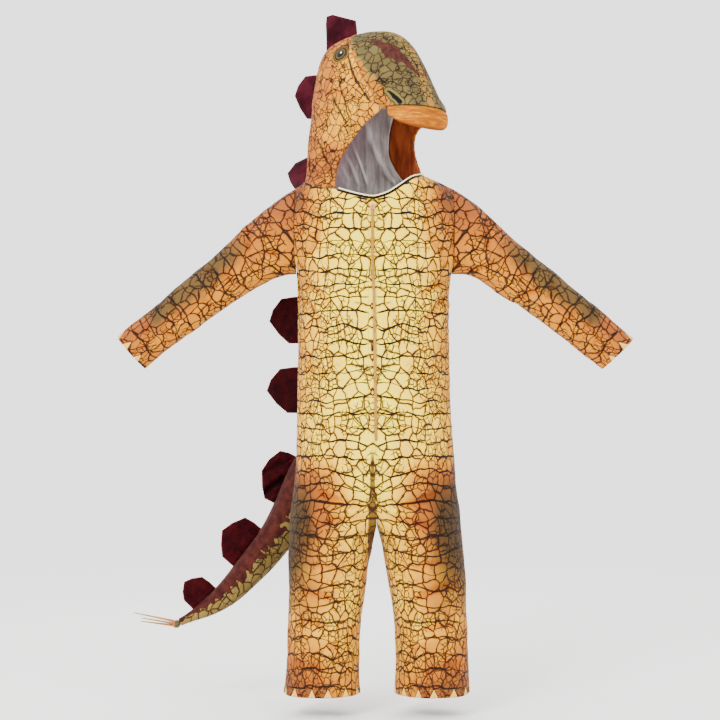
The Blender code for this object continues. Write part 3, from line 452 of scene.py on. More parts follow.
def brushed(shader, place, depth=0.00022):
    """The short nap and knit of brushed jersey."""
    knit = place.noise(1300.0, 1.0) * 0.7 + place.noise(420.0, 2.0) * 0.3
    relief(shader, knit, depth, 0.6)


def jersey(name):
    return finish(name, 0.88, Sheen_Weight=0.03, Sheen_Roughness=0.5, Specular_IOR_Level=0.12)


def trunk_print(name):
    """Cream at the zip, through gold to orange at the sides, with olive on the outer legs."""
    made, shader, place = jersey(name)
    x, y, z = place.parts()
    across = abs(x - CENTRE_X)
    flat = place.mark("round").joined(z, 0.0)
    cloud = flat.noise(9.0, 3.0)
    legs = z.rise(-0.46, -0.62)
    shoulder = z.rise(-0.150, -0.015) * across.rise(0.050, 0.120) * 0.36
    side = (across * 7.2) ** 1.5 * (1 - legs) * 0.62
    thigh = z.rise(-0.43, -0.49) * z.rise(-0.64, -0.53) * across.rise(0.02, 0.075) * 0.44
    knee = across.rise(0.04, 0.12) * legs * 0.20
    ankle = z.rise(-0.74, -0.83) * 0.28
    behind = y.rise(0.0, 0.05) * 0.26
    warm = side + shoulder + thigh + knee + ankle + behind + legs * 0.44 + (cloud - 0.5) * 0.50
    blotch = flat.vector("ADD", (0.9, 0.2, 1.4)).noise(10.0, 3.0)
    level = z.over(FORK) / 0.0235 + (z - FORK).under(0.0) / 0.028
    bands = across.rise(0.002, 0.012) * (1 - legs * 0.10)
    height = z + (blotch - 0.5) * 0.10
    mossy = height.rise(-0.46, -0.52) * height.rise(-0.74, -0.62)
    mossy = mossy * (across + (blotch - 0.5) * 0.05).rise(0.080, 0.124)
    grounds = ((0.0, CREAM), (0.28, "#F2C42C"), (0.54, "#CC8C1A"), (0.80, ORANGE), (1.0, BROWN))
    printed = scaly(flat, level, warm, grounds, bands=bands, moss=mossy * 0.86)
    printed = (mossy * 0.55).between(printed, hue("#96734F"), "MULTIPLY")
    # A painted shadow line on the body just below the neck binding.
    printed = place.mark("neck").rise(0.0046, 0.0038).between(printed, hue(CRACK))
    # Painted shade in the troughs of the creases.
    printed = crease_shaded(printed, place)
    # Painted shade in the groove of the centre seam, from below the zip widening to the crotch.
    seam = (across - z.rise(-0.43, -0.56) * 0.0045).rise(0.0036, 0.0012)
    seam = seam * z.rise(-0.425, -0.45) * y.rise(0.02, 0.0)
    printed = (seam * 0.85).between(printed, hue("#34190F"))
    paint(shader, "Base Color", toothed(printed, place.mark("round"), z - HEM))
    brushed(shader, place)
    return made


trunk_finish = trunk_print("scale_print")


FRONT_CREASES = [
    # x and z from, x and z to, bend, half width, depth: under the arms
    (-128, -158, -70, -205, 6, 6.5, 4.5),
    (-128, -172, -88, -240, 5, 6, 3.5),
    (-120, -130, -90, -60, -6, 6, 3),
    (124, -156, 68, -196, -6, 6.5, 4.5),
    (124, -176, 82, -236, -5, 6, 3.5),
    (117, -125, 88, -62, 6, 6, 3),
    # waist and hips
    (-126, -300, -60, -322, 4, 7, 2.2),
    (122, -318, 58, -336, -4, 7, 2.2),
    (-124, -402, -68, -388, -4, 7, 2),
    # from the crotch
    (-6, -528, -110, -492, 10, 8, 4.8),
    (-6, -545, -100, -560, -6, 7, 4),
    (10, -528, 112, -496, -10, 8, 4.8),
    (12, -546, 104, -566, 6, 7, 4),
    (-4, -470, -60, -452, 4, 6, 2.2),
    (0, -476, 58, -458, -4, 6, 2.2),
    # knees
    (-140, -664, -50, -690, 8, 9, 4),
    (-44, -640, -120, -622, -6, 8, 3),
    (-138, -716, -62, -730, 6, 8.5, 3),
    (150, -660, 54, -684, -8, 9, 4.2),
    (48, -634, 120, -618, 6, 8, 3.2),
    (148, -722, 66, -738, -6, 8.5, 3),
    # above the hems
    (-146, -786, -72, -798, 5, 7.5, 2.8),
    (-34, -770, -96, -758, -5, 7, 2.4),
    (152, -790, 80, -800, -5, 7.5, 2.8),
    (40, -772, 104, -760, 5, 7, 2.4),
]
BACK_CREASES = [
    # the same measures
    (124, -150, 64, -204, 6, 6.5, 4.5),
    (122, -176, 84, -246, 5, 6, 3.5),
    (-112, -158, -52, -200, -6, 6.5, 4.5),
    (110, -60, 30, -86, 6, 8, 3),
    (-70, -98, 20, -112, -6, 9, 3),
    (118, -306, 40, -330, 5, 8, 2.6),
    (20, -350, 112, -372, -6, 8, 2.6),
    (118, -470, 20, -520, 10, 8.5, 4.6),
    (110, -560, 30, -556, 6, 8, 3.8),
    (-110, -490, -20, -524, -10, 8.5, 4.6),
    (-116, -570, -30, -560, -6, 8, 3.8),
    (-140, -660, -40, -672, 7, 8.5, 4.2),
    (-40, -700, -130, -694, -7, 8, 3.6),
    (146, -656, 50, -668, -7, 8.5, 4.2),
    (52, -698, 138, -690, 7, 8, 3.6),
    (-146, -776, -60, -788, 5, 7.5, 3),
    (152, -780, 70, -792, -5, 7.5, 3),
]


def body_outward(points):
    """The way out of the trunk's or a leg's wall at each point."""
    leg = smooth(-points[:, 2], -FORK, -FORK + 0.10)
    leg_x = np.where(points[:, 0] < CENTRE_X, LEG_X["right"], LEG_X["left"])
    middle = CENTRE_X * (1 - leg) + leg_x * leg
    wide = TRUNK_HALF[0] * (1 - leg) + LEG_HALF[0] * leg
    deep = TRUNK_HALF[1] * (1 - leg) + LEG_HALF[1] * leg
    out = np.stack([(points[:, 0] - middle) / wide ** 2, points[:, 1] / deep ** 2,
                    6.0 * smooth(points[:, 2], -0.05, 0.01)], axis=1)
    return out / np.maximum(np.linalg.norm(out, axis=1, keepdims=True), 1e-9)


def round_body(points):
    """How far round the trunk or leg each point lies from the middle of its front or back."""
    across = np.abs(points[:, 0] - CENTRE_X)
    legs = smooth(-points[:, 2], -FORK, -FORK + 0.08)
    deep = TRUNK_HALF[1] * (1 - legs) + LEG_HALF[1] * legs
    outer = 1 - legs + legs * np.tanh((across - 0.0885) / 0.012)
    return across + np.maximum(deep - np.abs(points[:, 1]), 0.0) * outer


def body_move(points):
    """Creases, swells, puckers beside the zip and the side seams, and a hem that waves a little."""
    out = body_outward(points)
    x, y, z = points.T
    front = smooth(-y, 0.0, 0.02)
    back = smooth(y, 0.0, 0.02)
    flat = points[:, [0, 2]]
    shift = CREASING * (front * pressed(flat, FRONT_CREASES) + back * pressed(flat, BACK_CREASES))
    shift += 0.0011 * uneven(points, 0.085) + 0.0005 * uneven(points, 0.034)
    zip_side = np.abs(x - CENTRE_X)
    zip_run = front * smooth(z, -0.43, -0.41) * smooth(z, -0.030, -0.050)
    shift += zip_run * 0.0006 * np.exp(-((zip_side - 0.009) / 0.006) ** 2) * np.sin(2 * math.pi * z / 0.0135)
    seam_run = front * smooth(z, -0.41, -0.43) * np.exp(-(zip_side / 0.0035) ** 2)
    shift -= 0.0016 * seam_run * smooth(-z, 0.41, 0.45)
    side_seam = np.exp(-(y / 0.0030) ** 2) * smooth(np.abs(x), 0.10, 0.12)
    shift -= 0.0009 * side_seam
    shift += 0.0012 * smooth(z, HEM + 0.05, HEM) * np.sin(x / 0.0085 + 2.0 * np.sign(y))
    shift -= 0.0007 * np.exp(-((z - HEM_STITCHING) / 0.0016) ** 2)
    shift *= 1 - smooth(z, -0.035, -0.005) * 0.85
    return out * shift[:, None]


def surface(piece):
    """A piece's faces, kept so that rays and nearest places can be found on them."""
    return BVHTree.FromPolygons([vert.co for vert in piece.data.vertices],
                                [face.vertices[:] for face in piece.data.polygons])


neckline = surface(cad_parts["neck_binding"])

PANELS = {
    # node: width and length of the cut, its area, record slot
    "front_left": (0.205, 0.880, 0.158, "print_front"),
    "front_right": (0.200, 0.880, 0.155, "print_front"),
    "back_left": (0.310, 0.880, 0.215, "print_back"),
    "back_right": (0.170, 0.870, 0.096, "print_back"),
}
panels = {}
for node, (width, length, area, slot) in PANELS.items():
    panel = smoothed(node, CLOTH_LEVEL)
    points = points_of(panel.data)
    marked(panel, "round", round_body(points))
    near_neck = [neckline.find_nearest(vert.co)[3] if vert.co.z > -0.06 else 0.1
                 for vert in panel.data.vertices]
    marked(panel, "neck", near_neck)
    move = body_move(points)
    marked(panel, "fold", np.einsum("ij,ij->i", move, body_outward(points)) / DEEP_FOLD)
    dressed(panel, node, trunk_finish, move)
    panels[node] = panel


# Sleeves: one piece of the same jersey each, rolled into a tube and set into the armhole,
# with bands of the print across the arm, olive on top and orange at the wrist.
SLEEVE_TOP = (0.145, -0.080)
SLEEVE_END = (0.405, -0.277)
SLEEVE_RUN = (SLEEVE_END[0] - SLEEVE_TOP[0], SLEEVE_END[1] - SLEEVE_TOP[1])
SLEEVE_LENGTH = math.hypot(*SLEEVE_RUN)
CUFF = 0.327
CUFF_STITCHING = 0.315
SLEEVE_CREASING = 1.4
SLEEVE_FOLD = 0.0045
SLEEVE_CREASES = [
    # along the arm and round it, from and to; bend, half width, depth
    (10, -60, 60, 10, 4, 6, 3.8),
    (30, 62, 75, 5, 4, 6, 3.4),
    (110, -55, 135, 20, 6, 6, 3),
    (140, 60, 158, -10, -6, 6, 3.4),
    (165, -52, 185, 8, 5, 5.5, 2.8),
    (210, 50, 228, -16, 5, 5.5, 2.8),
    (245, -46, 258, 12, -4, 5, 2.6),
    (275, 44, 284, -20, 4, 5, 2.4),
    (90, 85, 150, 70, 6, 7, 3),
    (200, -75, 250, -62, -6, 6.5, 2.6),
]


def sleeve_flat(points, side):
    """Measures along the arm and round it, from its front line, and the way out."""
    top = np.array((side * SLEEVE_TOP[0], 0.0, SLEEVE_TOP[1]))
    way = np.array((side * SLEEVE_RUN[0], 0.0, SLEEVE_RUN[1])) / SLEEVE_LENGTH
    along = (points - top) @ way
    radial = points - top - along[:, None] * way
    out = radial / np.maximum(np.linalg.norm(radial, axis=1), 1e-9)[:, None]
    upward = np.array((-way[2] * side, 0.0, way[0] * side))
    angle = np.arctan2(radial @ upward, -radial[:, 1])
    return np.stack([along, angle * 0.045], axis=1), out


def sleeve_print(name):
    """Olive along the top of the arm, gold and orange below and at the wrist."""
    made, shader, place = jersey(name)
    along, turned = place.mark("along"), place.mark("turned")
    flat = turned.joined(along, 0.0)
    upper = turned.rise(-0.045, 0.060)
    cloud = flat.noise(11.0, 3.0)
    blotch = flat.vector("ADD", (0.2, 0.6, 2.4)).noise(12.0, 3.0)
    warm = 0.36 + upper * 0.34 + (cloud - 0.5) * 0.55
    warm = warm + along.rise(0.06, -0.02) * 0.14 + along.rise(0.24, 0.30) * 0.12
    mossy = (turned + (blotch - 0.5) * 0.05).rise(-0.002, 0.028)
    mossy = mossy * (along + (blotch - 0.5) * 0.06).rise(0.05, 0.10)
    mossy = mossy * (along + (blotch - 0.5) * 0.05).rise(0.285, 0.260)
    grounds = ((0.0, "#F0CC28"), (0.28, GOLD), (0.50, "#B26A12"), (0.75, "#94501C"), (1.0, "#70391C"))
    printed = scaly(flat, along / 0.027, warm, grounds, bands=0.9, moss=mossy * 0.88)
    # Painted shade in the troughs of the creases.
    printed = crease_shaded(printed, place)
    paint(shader, "Base Color", toothed(printed, turned, CUFF - along))
    brushed(shader, place)
    return made


sleeves = {}
sleeve_finish = sleeve_print("sleeve_print")
for name, side in (("right", -1), ("left", 1)):
    node = f"sleeve_{name}"
    sleeve = smoothed(node, CLOTH_LEVEL)
    points = points_of(sleeve.data)
    flat, out = sleeve_flat(points, side)
    marked(sleeve, "along", flat[:, 0])
    marked(sleeve, "turned", flat[:, 1])
    handed = np.array((1, -side, 1, -side, -side, 1, 1))
    shift = SLEEVE_CREASING * pressed(flat, SLEEVE_CREASES * handed)
    shift += 0.0009 * uneven(points, 0.060) + 0.0004 * uneven(points, 0.027)
    shift += 0.0009 * smooth(flat[:, 0], 0.285, 0.325) * np.sin(flat[:, 1] / 0.0052)
    shift -= 0.0007 * np.exp(-((flat[:, 0] - CUFF_STITCHING) / 0.0016) ** 2)
    shift *= smooth(np.abs(points[:, 0]), 0.139, 0.165)
    marked(sleeve, "fold", shift / SLEEVE_FOLD)
    dressed(sleeve, node, sleeve_finish, out * shift[:, None])
    sleeves[side] = sleeve


# Hood sides: two shaped pieces of the jersey joined by the spine seam, which holds the
# plates. An eye is printed on each, and painted shade lies along a crease from it to the snout.
HOOD_TURN = math.radians(50)
HOOD_X = -0.015
EYE = (-0.0132, 0.0503, 0.2172)
EYE_FORM = (0.80, 0.35, 1.0)
LONG_CRACK = 0.0015
LONG_CRACKS = [
    # out and up from, out and up to, in metres
    (-0.005, 0.176, 0.034, 0.090), (-0.024, 0.158, 0.030, 0.085),
    (-0.050, 0.085, -0.004, 0.012), (-0.077, 0.065, -0.052, 0.0),
]
HOOD_CREASES = [
    # out and up from, out and up to, bend, half width, depth, the same on both sides
    (-12, 242, 84, 116, -9, 4.2, 3.6),
    (-45, 80, -4, 12, 3, 5.5, 3.4),
    (-77, 60, -52, 0, 3, 5, 3),
    (-22, 160, 30, 88, 6, 4.5, 1.6),
    (-60, 190, -30, 120, -4, 6, 1.4),
    (-30, 40, 4, 4, 2, 5, 2.6),
]


def hood_measures(points):
    """Out to the face, aside either way, and up, as the turned hood stands."""
    x, y, z = points[:, 0] - HOOD_X, points[:, 1], points[:, 2]
    out = x * math.sin(HOOD_TURN) - y * math.cos(HOOD_TURN)
    side = -x * math.cos(HOOD_TURN) - y * math.sin(HOOD_TURN)
    return np.stack([out, np.abs(side), z], axis=1)


def hood_place(place):
    x, y, z = place.parts()
    out = (x - HOOD_X) * math.sin(HOOD_TURN) - y * math.cos(HOOD_TURN)
    side = (x - HOOD_X) * -math.cos(HOOD_TURN) - y * math.sin(HOOD_TURN)
    return out, abs(side), z, out.joined(abs(side), z)


def hood_outward(points):
    """The way out of the hood's wall, from a line up its middle."""
    out = np.stack([points[:, 0] - HOOD_X, points[:, 1], 1.2 * (points[:, 2] - 0.115)], axis=1)
    out[:, 2] *= smooth(points[:, 2], 0.10, 0.20)
    return out / np.maximum(np.linalg.norm(out, axis=1, keepdims=True), 1e-9)


def long_line(printed, spot, start, end, width, depth=0.85):
    """A single long crack of the print from one place to another."""
    wavy = spot.stirred(45.0, (0.010, 0.0, 0.010)).vector("MULTIPLY", (1.0, 0.0, 1.0))
    away, share = wavy.near(start, end)
    taper = (share * (1 - share) * 4) ** 0.4
    return (away.rise(width * 1.6, width * 0.8) * taper * depth).between(printed, hue(CRACK))


def head_print(name):
    made, shader, place = jersey(name)
    out, _, high, spot = hood_place(place)
    cloud = spot.noise(14.0, 3.0)
    warm = 0.44 + (cloud - 0.5) * 1.15 + high.rise(0.10, 0.03) * 0.16 + out.rise(-0.01, -0.07) * 0.22
    warm = warm - (spot.near((0.055, 0.075, 0.120), (0.020, 0.080, 0.070))[0]).rise(0.045, 0.010) * 0.20
    grounds = ((0.0, "#EBBA20"), (0.30, "#D3961A"), (0.52, "#B97416"), (0.75, "#9A5618"), (1.0, BROWN))
    printed = scaly(spot, out, warm, grounds, size=0.0160, bands=0.0, thin="#190B06", fine=0.95, kind="3D")
    for near_out, near_up, far_out, far_up in LONG_CRACKS:
        printed = long_line(printed, spot, (near_out, 0.0, near_up), (far_out, 0.0, far_up), LONG_CRACK)
    level_spot = spot.vector("MULTIPLY", (1.0, 0.0, 1.0))
    # Painted shade along the crease that runs from the eye to the snout.
    upper = level_spot.near((-0.006, 0.0, 0.2330), (0.037, 0.0, 0.1650))[0]
    below, share_two = level_spot.near((0.037, 0.0, 0.1650), (0.073, 0.0, 0.1270))
    crease = upper.under(below + share_two * 0.0012) + (spot.noise(90.0, 2.0) - 0.5) * 0.009
    printed = (crease.rise(0.0046, 0.0018) * 0.95).between(printed, hue("#1C0B06"))
    away = spot.vector("MULTIPLY", EYE_FORM).away(tuple(a * b for a, b in zip(EYE, EYE_FORM)))
    away = away + (spot.noise(60.0, 1.0) - 0.5) * 0.0024
    printed = away.rise(0.0170, 0.0145).between(printed, hue("#BE8A28"))
    # The eye's outer printed ring is drawn stronger above the eye: print, with painted shade under the brow.
    brow_shade = (high - EYE[2]).rise(0.001, 0.007)
    rings = ((0.0156, 0.0010, brow_shade * 0.4 + 0.6), (0.0126, 0.0008, 0.95), (0.0097, 0.0010, 1.0))
    for ring, half, depth in rings:
        line = abs(away - ring).rise(half * 2, half) * depth
        printed = line.between(printed, hue("#1A0D06"))
    printed = away.rise(0.0088, 0.0080).between(printed, hue("#4A3A1A"))
    printed = away.rise(0.0064, 0.0056).between(printed, hue("#050302"))
    glint = spot.away((EYE[0] + 0.0012, EYE[1], EYE[2] + 0.0024)).rise(0.0022, 0.0014)
    paint(shader, "Base Color", glint.between(printed, hue("#FFFFFF")))
    paint(shader, "Roughness", away.rise(0.0080, 0.0092) * 0.26 + 0.60)
    brushed(shader, place)
    return made


def hood_shift(points):
    """How far the hood's cloth and what lies inside it move out or in."""
    spot = hood_measures(points)
    shift = pressed(spot[:, [0, 2]], HOOD_CREASES) * smooth(spot[:, 1], 0.020, 0.045)
    shift += 0.0010 * uneven(points, 0.070) + 0.0004 * uneven(points, 0.030)
    return shift * smooth(points[:, 2], -0.004, 0.014)


head_finish = head_print("head_print")
hoods = []
for name, area in (("right", 0.0433), ("left", 0.0486)):
    node = f"hood_{name}"
    hood = smoothed(node, CLOTH_LEVEL)
    hoods.append(hood)
    points = points_of(hood.data)
    spot = hood_measures(points)
    shift = hood_shift(points)
    away = np.linalg.norm((spot - np.array(EYE)) * EYE_FORM, axis=1)
    shift += 0.0018 * np.exp(-(away / 0.0080) ** 2) + 0.0010 * np.exp(-((away - 0.0138) / 0.0018) ** 2)
    dressed(hood, node, head_finish, hood_outward(points) * shift[:, None])


# Hood lining: two halves of thin grey satin inside the hood, joined at the back, loose
# enough to hang in long folds from the crown to the neck seam.
LINING_FOLDS = [
    # across and up in the photograph from and to, bend, half width, height (minus, as they stand in)
    (-43, 82, -3, -30, 3, 3, -3),
    (-56, 66, -23, -14, 3, 4, -2.6),
    (-64, 46, -40, 0, 2, 3.5, -2),
    (-10, 120, 18, 20, -5, 6, -2.2),
    (6, 105, 33, 15, -4, 6, -2),
    (-22, 130, -12, 60, 4, 6, -1.6),
]


LINING_CREASING = 1.6
LINING_FOLD = 0.0045


def satin_finish(name):
    made, shader, place = finish(name, 0.36, Sheen_Weight=0.25, Sheen_Roughness=0.3, Specular_IOR_Level=0.7)
    x, y, z = place.parts()
    # The satin's mottled, streaky tone from dark grey to near white is partly the cloth's own and partly
    # painted sheen.
    crumple = (x * 2.2).joined(y * 2.2, z).noise(26.0, 4.0, 0.6)
    streak = (x * 6.0).joined(y * 6.0, z * 0.7 + x * 2.0).noise(22.0, 3.0, 0.6)
    tone = streak * 0.6 + crumple * 0.4
    shade = tone.graded(((0.30, "#746C6B"), (0.45, "#9B9290"), (0.58, "#C3BAB7"), (0.72, "#F3EBE7")))
    pinkish = (x - z * 0.5).rise(-0.045, -0.075) * 0.5
    # Painted highlight along the ridges of the lining's folds.
    shade = place.mark("fold").rise(0.25, 1.0).between(shade, hue("#FFFBF8"))
    paint(shader, "Base Color", pinkish.between(shade, hue("#B08C9A")))
    relief(shader, crumple * 0.6 + place.noise(90.0, 3.0) * 0.4, 0.0022, 0.55)
    return made


satin = satin_finish("grey_satin")
for name, area in (("right", 0.0325), ("left", 0.0380)):
    node = f"hood_lining_{name}"
    lining = smoothed(node, CLOTH_LEVEL)
    points = points_of(lining.data)
    raised = np.maximum(pressed(in_view(points), LINING_FOLDS), 0.0)
    folds = LINING_CREASING * raised * smooth(points[:, 2], 0.0, 0.02)
    marked(lining, "fold", folds / LINING_FOLD)
    shift = np.minimum(hood_shift(points), 0.0) - 0.0003 - folds
    dressed(lining, node, satin, hood_outward(points) * shift[:, None])


# Face facing: a strip of rust jersey along the inside of each face edge, turned in and
# caught to the lining.
def rust_finish(name, dark, light):
    made, shader, place = finish(name, 0.86, Sheen_Weight=0.04, Sheen_Roughness=0.5, Specular_IOR_Level=0.12)
    x, y, z = place.parts()
    streak = (x * 3.0).joined(y * 3.0, z * 0.6).noise(28.0, 4.0, 0.6)
    paint(shader, "Base Color", streak.shades(0.35, 0.68, dark, light))
    brushed(shader, place, 0.00030)
    return made


rust = rust_finish("rust_jersey", "#6E2A15", "#A04C24")
for name, area in (("right", 0.0089), ("left", 0.0087)):
    node = f"hood_facing_{name}"
    facing = smoothed(node, CLOTH_LEVEL)
    points = points_of(facing.data)
    shift = np.minimum(hood_shift(points), 0.0)
    dressed(facing, node, rust, hood_outward(points) * shift[:, None])


# Snout: a padded top of olive print with a rust blaze down each side of its ridge and
# printed nostrils, a padded orange lip round its front, and a satin lining under it.
SNOUT_CREASES = [
    # out and up from, out and up to, bend, half width, depth
    (18, 236, 86, 148, 3, 4, 1.8),
    (60, 205, 100, 165, 4, 6, 1.2),
]
NOSTRIL = ((0.0945, 0.0600, 0.1450), (0.1075, 0.0606, 0.1368), (0.1185, 0.0590, 0.1245))
BLAZE = ((0.041, 0.033, 0.237), (0.0825, 0.033, 0.211), (0.121, 0.009, 0.172))


def snout_print(name):
    made, shader, place = jersey(name)
    out, side, high, spot = hood_place(place)
    ridge = side.rise(0.026, 0.004) * 0.40
    ahead = out * 1.05 + high - 0.240 + (spot.noise(60.0, 2.0) - 0.5) * 0.030
    behind = ahead.rise(0.004, -0.004)
    lower = spot.near((0.100, 0.060, 0.128), (0.120, 0.050, 0.118))[0].rise(0.020, 0.008) * 0.25
    warm = 0.24 + ridge + lower + behind * 0.55 + (spot.noise(22.0, 3.0) - 0.5) * 0.55
    grounds = ((0.0, "#443D24"), (0.35, "#62552F"), (0.62, "#826B2F"), (0.85, "#A86A18"), (1.0, "#B0701C"))
    printed = scaly(spot, out, warm, grounds, size=0.0140, bands=0.0, thin="#130C06", fine=0.9, kind="3D")
    jag = (spot.noise(75.0, 2.0) - 0.5) * 0.009
    first, share = spot.near(BLAZE[0], BLAZE[1])
    second, share_two = spot.near(BLAZE[1], BLAZE[2])
    blaze = (0.0036 + share * 0.0100 - first + jag).over(0.0136 - share_two * 0.0108 - second + jag)
    streak = (out * 3.0).joined(side * 3.0, high).noise(60.0, 3.0)
    burnt = streak.shades(0.3, 0.7, "#301410", "#48231A")
    printed = blaze.rise(0.0, 0.0010).between(printed, burnt)
    warped = spot.stirred(50.0, (0.006, 0.006, 0.006))
    upper, share = warped.near(NOSTRIL[0], NOSTRIL[1])
    below, share_two = warped.near(NOSTRIL[1], NOSTRIL[2])
    hole = (upper - share * 0.0022 - 0.0004).under(below - share_two * 0.0012 - 0.0026)
    printed = hole.rise(0.0070, 0.0052).between(printed, hue("#6A5D2F"))
    printed = (abs(hole - 0.0060).rise(0.0013, 0.0006) * 0.75).between(printed, hue("#1E150A"))
    printed = hole.rise(0.0018, 0.0006).between(printed, hue("#0A0704"))
    paint(shader, "Base Color", printed)
    brushed(shader, place)
    return made


snout = smoothed("snout_top", CLOTH_LEVEL)
points = points_of(snout.data)
spot = hood_measures(points)
shift = pressed(spot[:, [0, 2]], SNOUT_CREASES) * smooth(spot[:, 1], 0.020, 0.045)
shift += 0.0009 * uneven(points, 0.050) + 0.0004 * uneven(points, 0.022)
way = np.array(NOSTRIL[2]) - np.array(NOSTRIL[0])
share = np.clip((spot - np.array(NOSTRIL[0])) @ way / (way @ way), 0, 1)
away = np.linalg.norm(spot - np.array(NOSTRIL[0]) - share[:, None] * way, axis=1)
shift += 0.0022 * np.exp(-((away - 0.0085) / 0.0045) ** 2) - 0.0016 * np.exp(-(away / 0.0034) ** 2)
out = hood_outward(points)
rim = outline_of(snout.data)
shift *= smooth(rim, 0.0, 0.006)
dressed(snout, "snout_top", snout_print("snout_print"), out * shift[:, None])


def lip_finish(name):
    made, shader, place = finish(name, 0.85, Specular_IOR_Level=0.06)
    out, side, high, _ = hood_place(place)
    streak = (out * 0.9 + high * 1.5).joined(side * 0.9, high * 7.0).noise(42.0, 4.0, 0.62)
    shade = streak.graded(((0.30, "#7C3F0C"), (0.46, "#9E560A"), (0.60, "#BA720C"), (0.74, "#DC9A14")))
    # Painted shade: the lip is darker where it faces down.
    lower = place.mark("low").rise(0.30, 0.80) * 0.80
    paint(shader, "Base Color", lower.between(shade, hue("#6E3114")))
    relief(shader, streak * 0.5 + place.noise(500.0, 2.0) * 0.5, 0.0006, 0.6)
    return made


lip = smoothed("snout_lip", CLOTH_LEVEL)
points = points_of(lip.data)
pucker = 0.0006 * np.sin(60 * (points @ np.array((1.0, 0.6, 0.2)))) + 0.0006 * uneven(points, 0.025)
out = hood_outward(points)
rim = outline_of(lip.data)
# How far each point of the lip faces down, for its painted shade.
marked(lip, "low", [-vert.normal.z for vert in lip.data.vertices])
dressed(lip, "snout_lip", lip_finish("orange_lip"), out * (pucker * smooth(rim, 0.0, 0.004))[:, None])

under = smoothed("snout_underside", CLOTH_LEVEL)
dressed(under, "snout_underside", rust)

roof = smoothed("snout_lining", CLOTH_LEVEL)
dressed(roof, "snout_lining", satin)


# Tail: two mirror pieces of printed jersey sewn round a stuffing, curved down from the
# seat, with a burgundy stripe along its ridge whose teeth bite into golden scales.
TAIL = [
    # x, y, z of the middle, and radius
    (-0.0710, 0.080, -0.4300, 0.0420), (-0.0874, 0.122, -0.4535, 0.0412), (-0.1155, 0.120, -0.4950, 0.0391),
    (-0.1408, 0.110, -0.5492, 0.0350), (-0.1705, 0.100, -0.5966, 0.0297), (-0.2002, 0.092, -0.6328, 0.0283),
    (-0.2230, 0.086, -0.6570, 0.0252), (-0.2432, 0.080, -0.6802, 0.0227), (-0.2699, 0.074, -0.7017, 0.0185),
    (-0.2952, 0.070, -0.7165, 0.0129), (-0.3143, 0.067, -0.7263, 0.0080), (-0.3315, 0.065, -0.7345, 0.0064)]
TAIL_CREASES = [
    # along and round from the ridge, from and to; bend, half width, depth
    (60, 10, 85, 75, 3, 4.5, 2),
    (130, 20, 150, 80, -3, 4.5, 1.8),
    (190, 10, 215, 65, 3, 4, 1.6),
    (255, 15, 262, 60, 2, 3.6, 1.5),
    (300, 8, 315, 45, 2, 3.2, 1.3),
    (345, 6, 352, 36, 2, 2.8, 1.2),
]


def along_tail(points):
    """How far along the tail and round it from its ridge (0 to 1) each point lies, and the way out."""
    rows = np.array(TAIL)
    centres = rows[:, :3]
    lengths = np.linalg.norm(np.diff(centres, axis=0), axis=1)
    starts = np.concatenate([[0.0], np.cumsum(lengths)])
    best = np.full(len(points), np.inf)
    along, around = np.zeros(len(points)), np.zeros(len(points))
    out, radius = np.zeros_like(points), np.zeros(len(points))
    for k, length in enumerate(lengths):
        way = (centres[k + 1] - centres[k]) / length
        share = np.clip((points - centres[k]) @ way / length, 0.0, 1.0)
        radial = points - centres[k] - share[:, None] * length * way
        reach = np.linalg.norm(radial, axis=1)
        nearer = reach < best
        best[nearer] = reach[nearer]
        along[nearer] = (starts[k] + share * length)[nearer]
        ridge = np.array((way[2], 0.0, -way[0]))
        ridge /= np.linalg.norm(ridge)
        turn = np.arctan2(np.abs(radial[:, 1]), radial @ ridge) / math.pi
        around[nearer] = turn[nearer]
        out[nearer] = (radial / np.maximum(reach, 1e-9)[:, None])[nearer]
        radius[nearer] = (rows[k, 3] + share * (rows[k + 1, 3] - rows[k, 3]))[nearer]
    return along, around, out, radius


def tail_print(name):
    made, shader, place = jersey(name)
    along, around, girth = place.mark("along"), place.mark("around"), place.mark("girth")
    flat = girth.joined(along, 0.0)
    warm = 0.5 + (flat.noise(24.0, 3.0) - 0.5) * 1.1
    grounds = ((0.0, "#4A3C1C"), (0.4, "#6C5A2B"), (0.7, "#806A36"), (1.0, "#957C40"))
    printed = scaly(flat, along, warm, grounds, size=0.0165, bands=0.0, thin="#22160A", fine=0.8)
    count = along / 0.021 + (flat.noise(34.0, 1.0) - 0.5) * 2.6
    tooth = count.math("PINGPONG", count, 0.5) * 2
    edge = 0.50 + (tooth - 0.5) * 0.20 + (flat.noise(75.0, 2.0) - 0.5) * 0.26 - along.rise(0.30, 0.42) * 0.10
    streak = flat.noise(70.0, 3.0)
    burnt = streak.shades(0.3, 0.7, "#2C0B0B", "#471C13")
    lines = cells(flat, 0.034, kind="2D")[0]
    burnt = (lines.rise(0.022, 0.008) * 0.5).between(burnt, hue("#1A0607"))
    printed = (edge - around).rise(-0.006, 0.006).between(printed, burnt)
    rim = abs(edge - around).rise(0.022, 0.010) * 0.7
    paint(shader, "Base Color", rim.between(printed, hue("#1A0B06")))
    brushed(shader, place)
    return made


tail_finish = tail_print("tail_print")
hosts = [panels["back_right"], panels["back_left"]]
for name in ("right", "left"):
    node = f"tail_{name}"
    half = smoothed(node, CLOTH_LEVEL)
    hosts.append(half)
    points = points_of(half.data)
    along, around, out, radius = along_tail(points)
    marked(half, "along", along)
    marked(half, "around", around)
    marked(half, "girth", around * math.pi * radius)
    flat = np.stack([along, around * math.pi * radius], axis=1)
    seam = np.minimum(around, 1 - around) * math.pi * radius
    shift = pressed(flat, TAIL_CREASES) + 0.0008 * uneven(points, 0.045)
    shift += 0.0006 * np.sin(along / 0.0022) * np.exp(-(seam / 0.006) ** 2)
    shift *= smooth(seam, 0.0, 0.004) * smooth(along, 0.030, 0.060)
    dressed(half, node, tail_finish, out * shift[:, None])


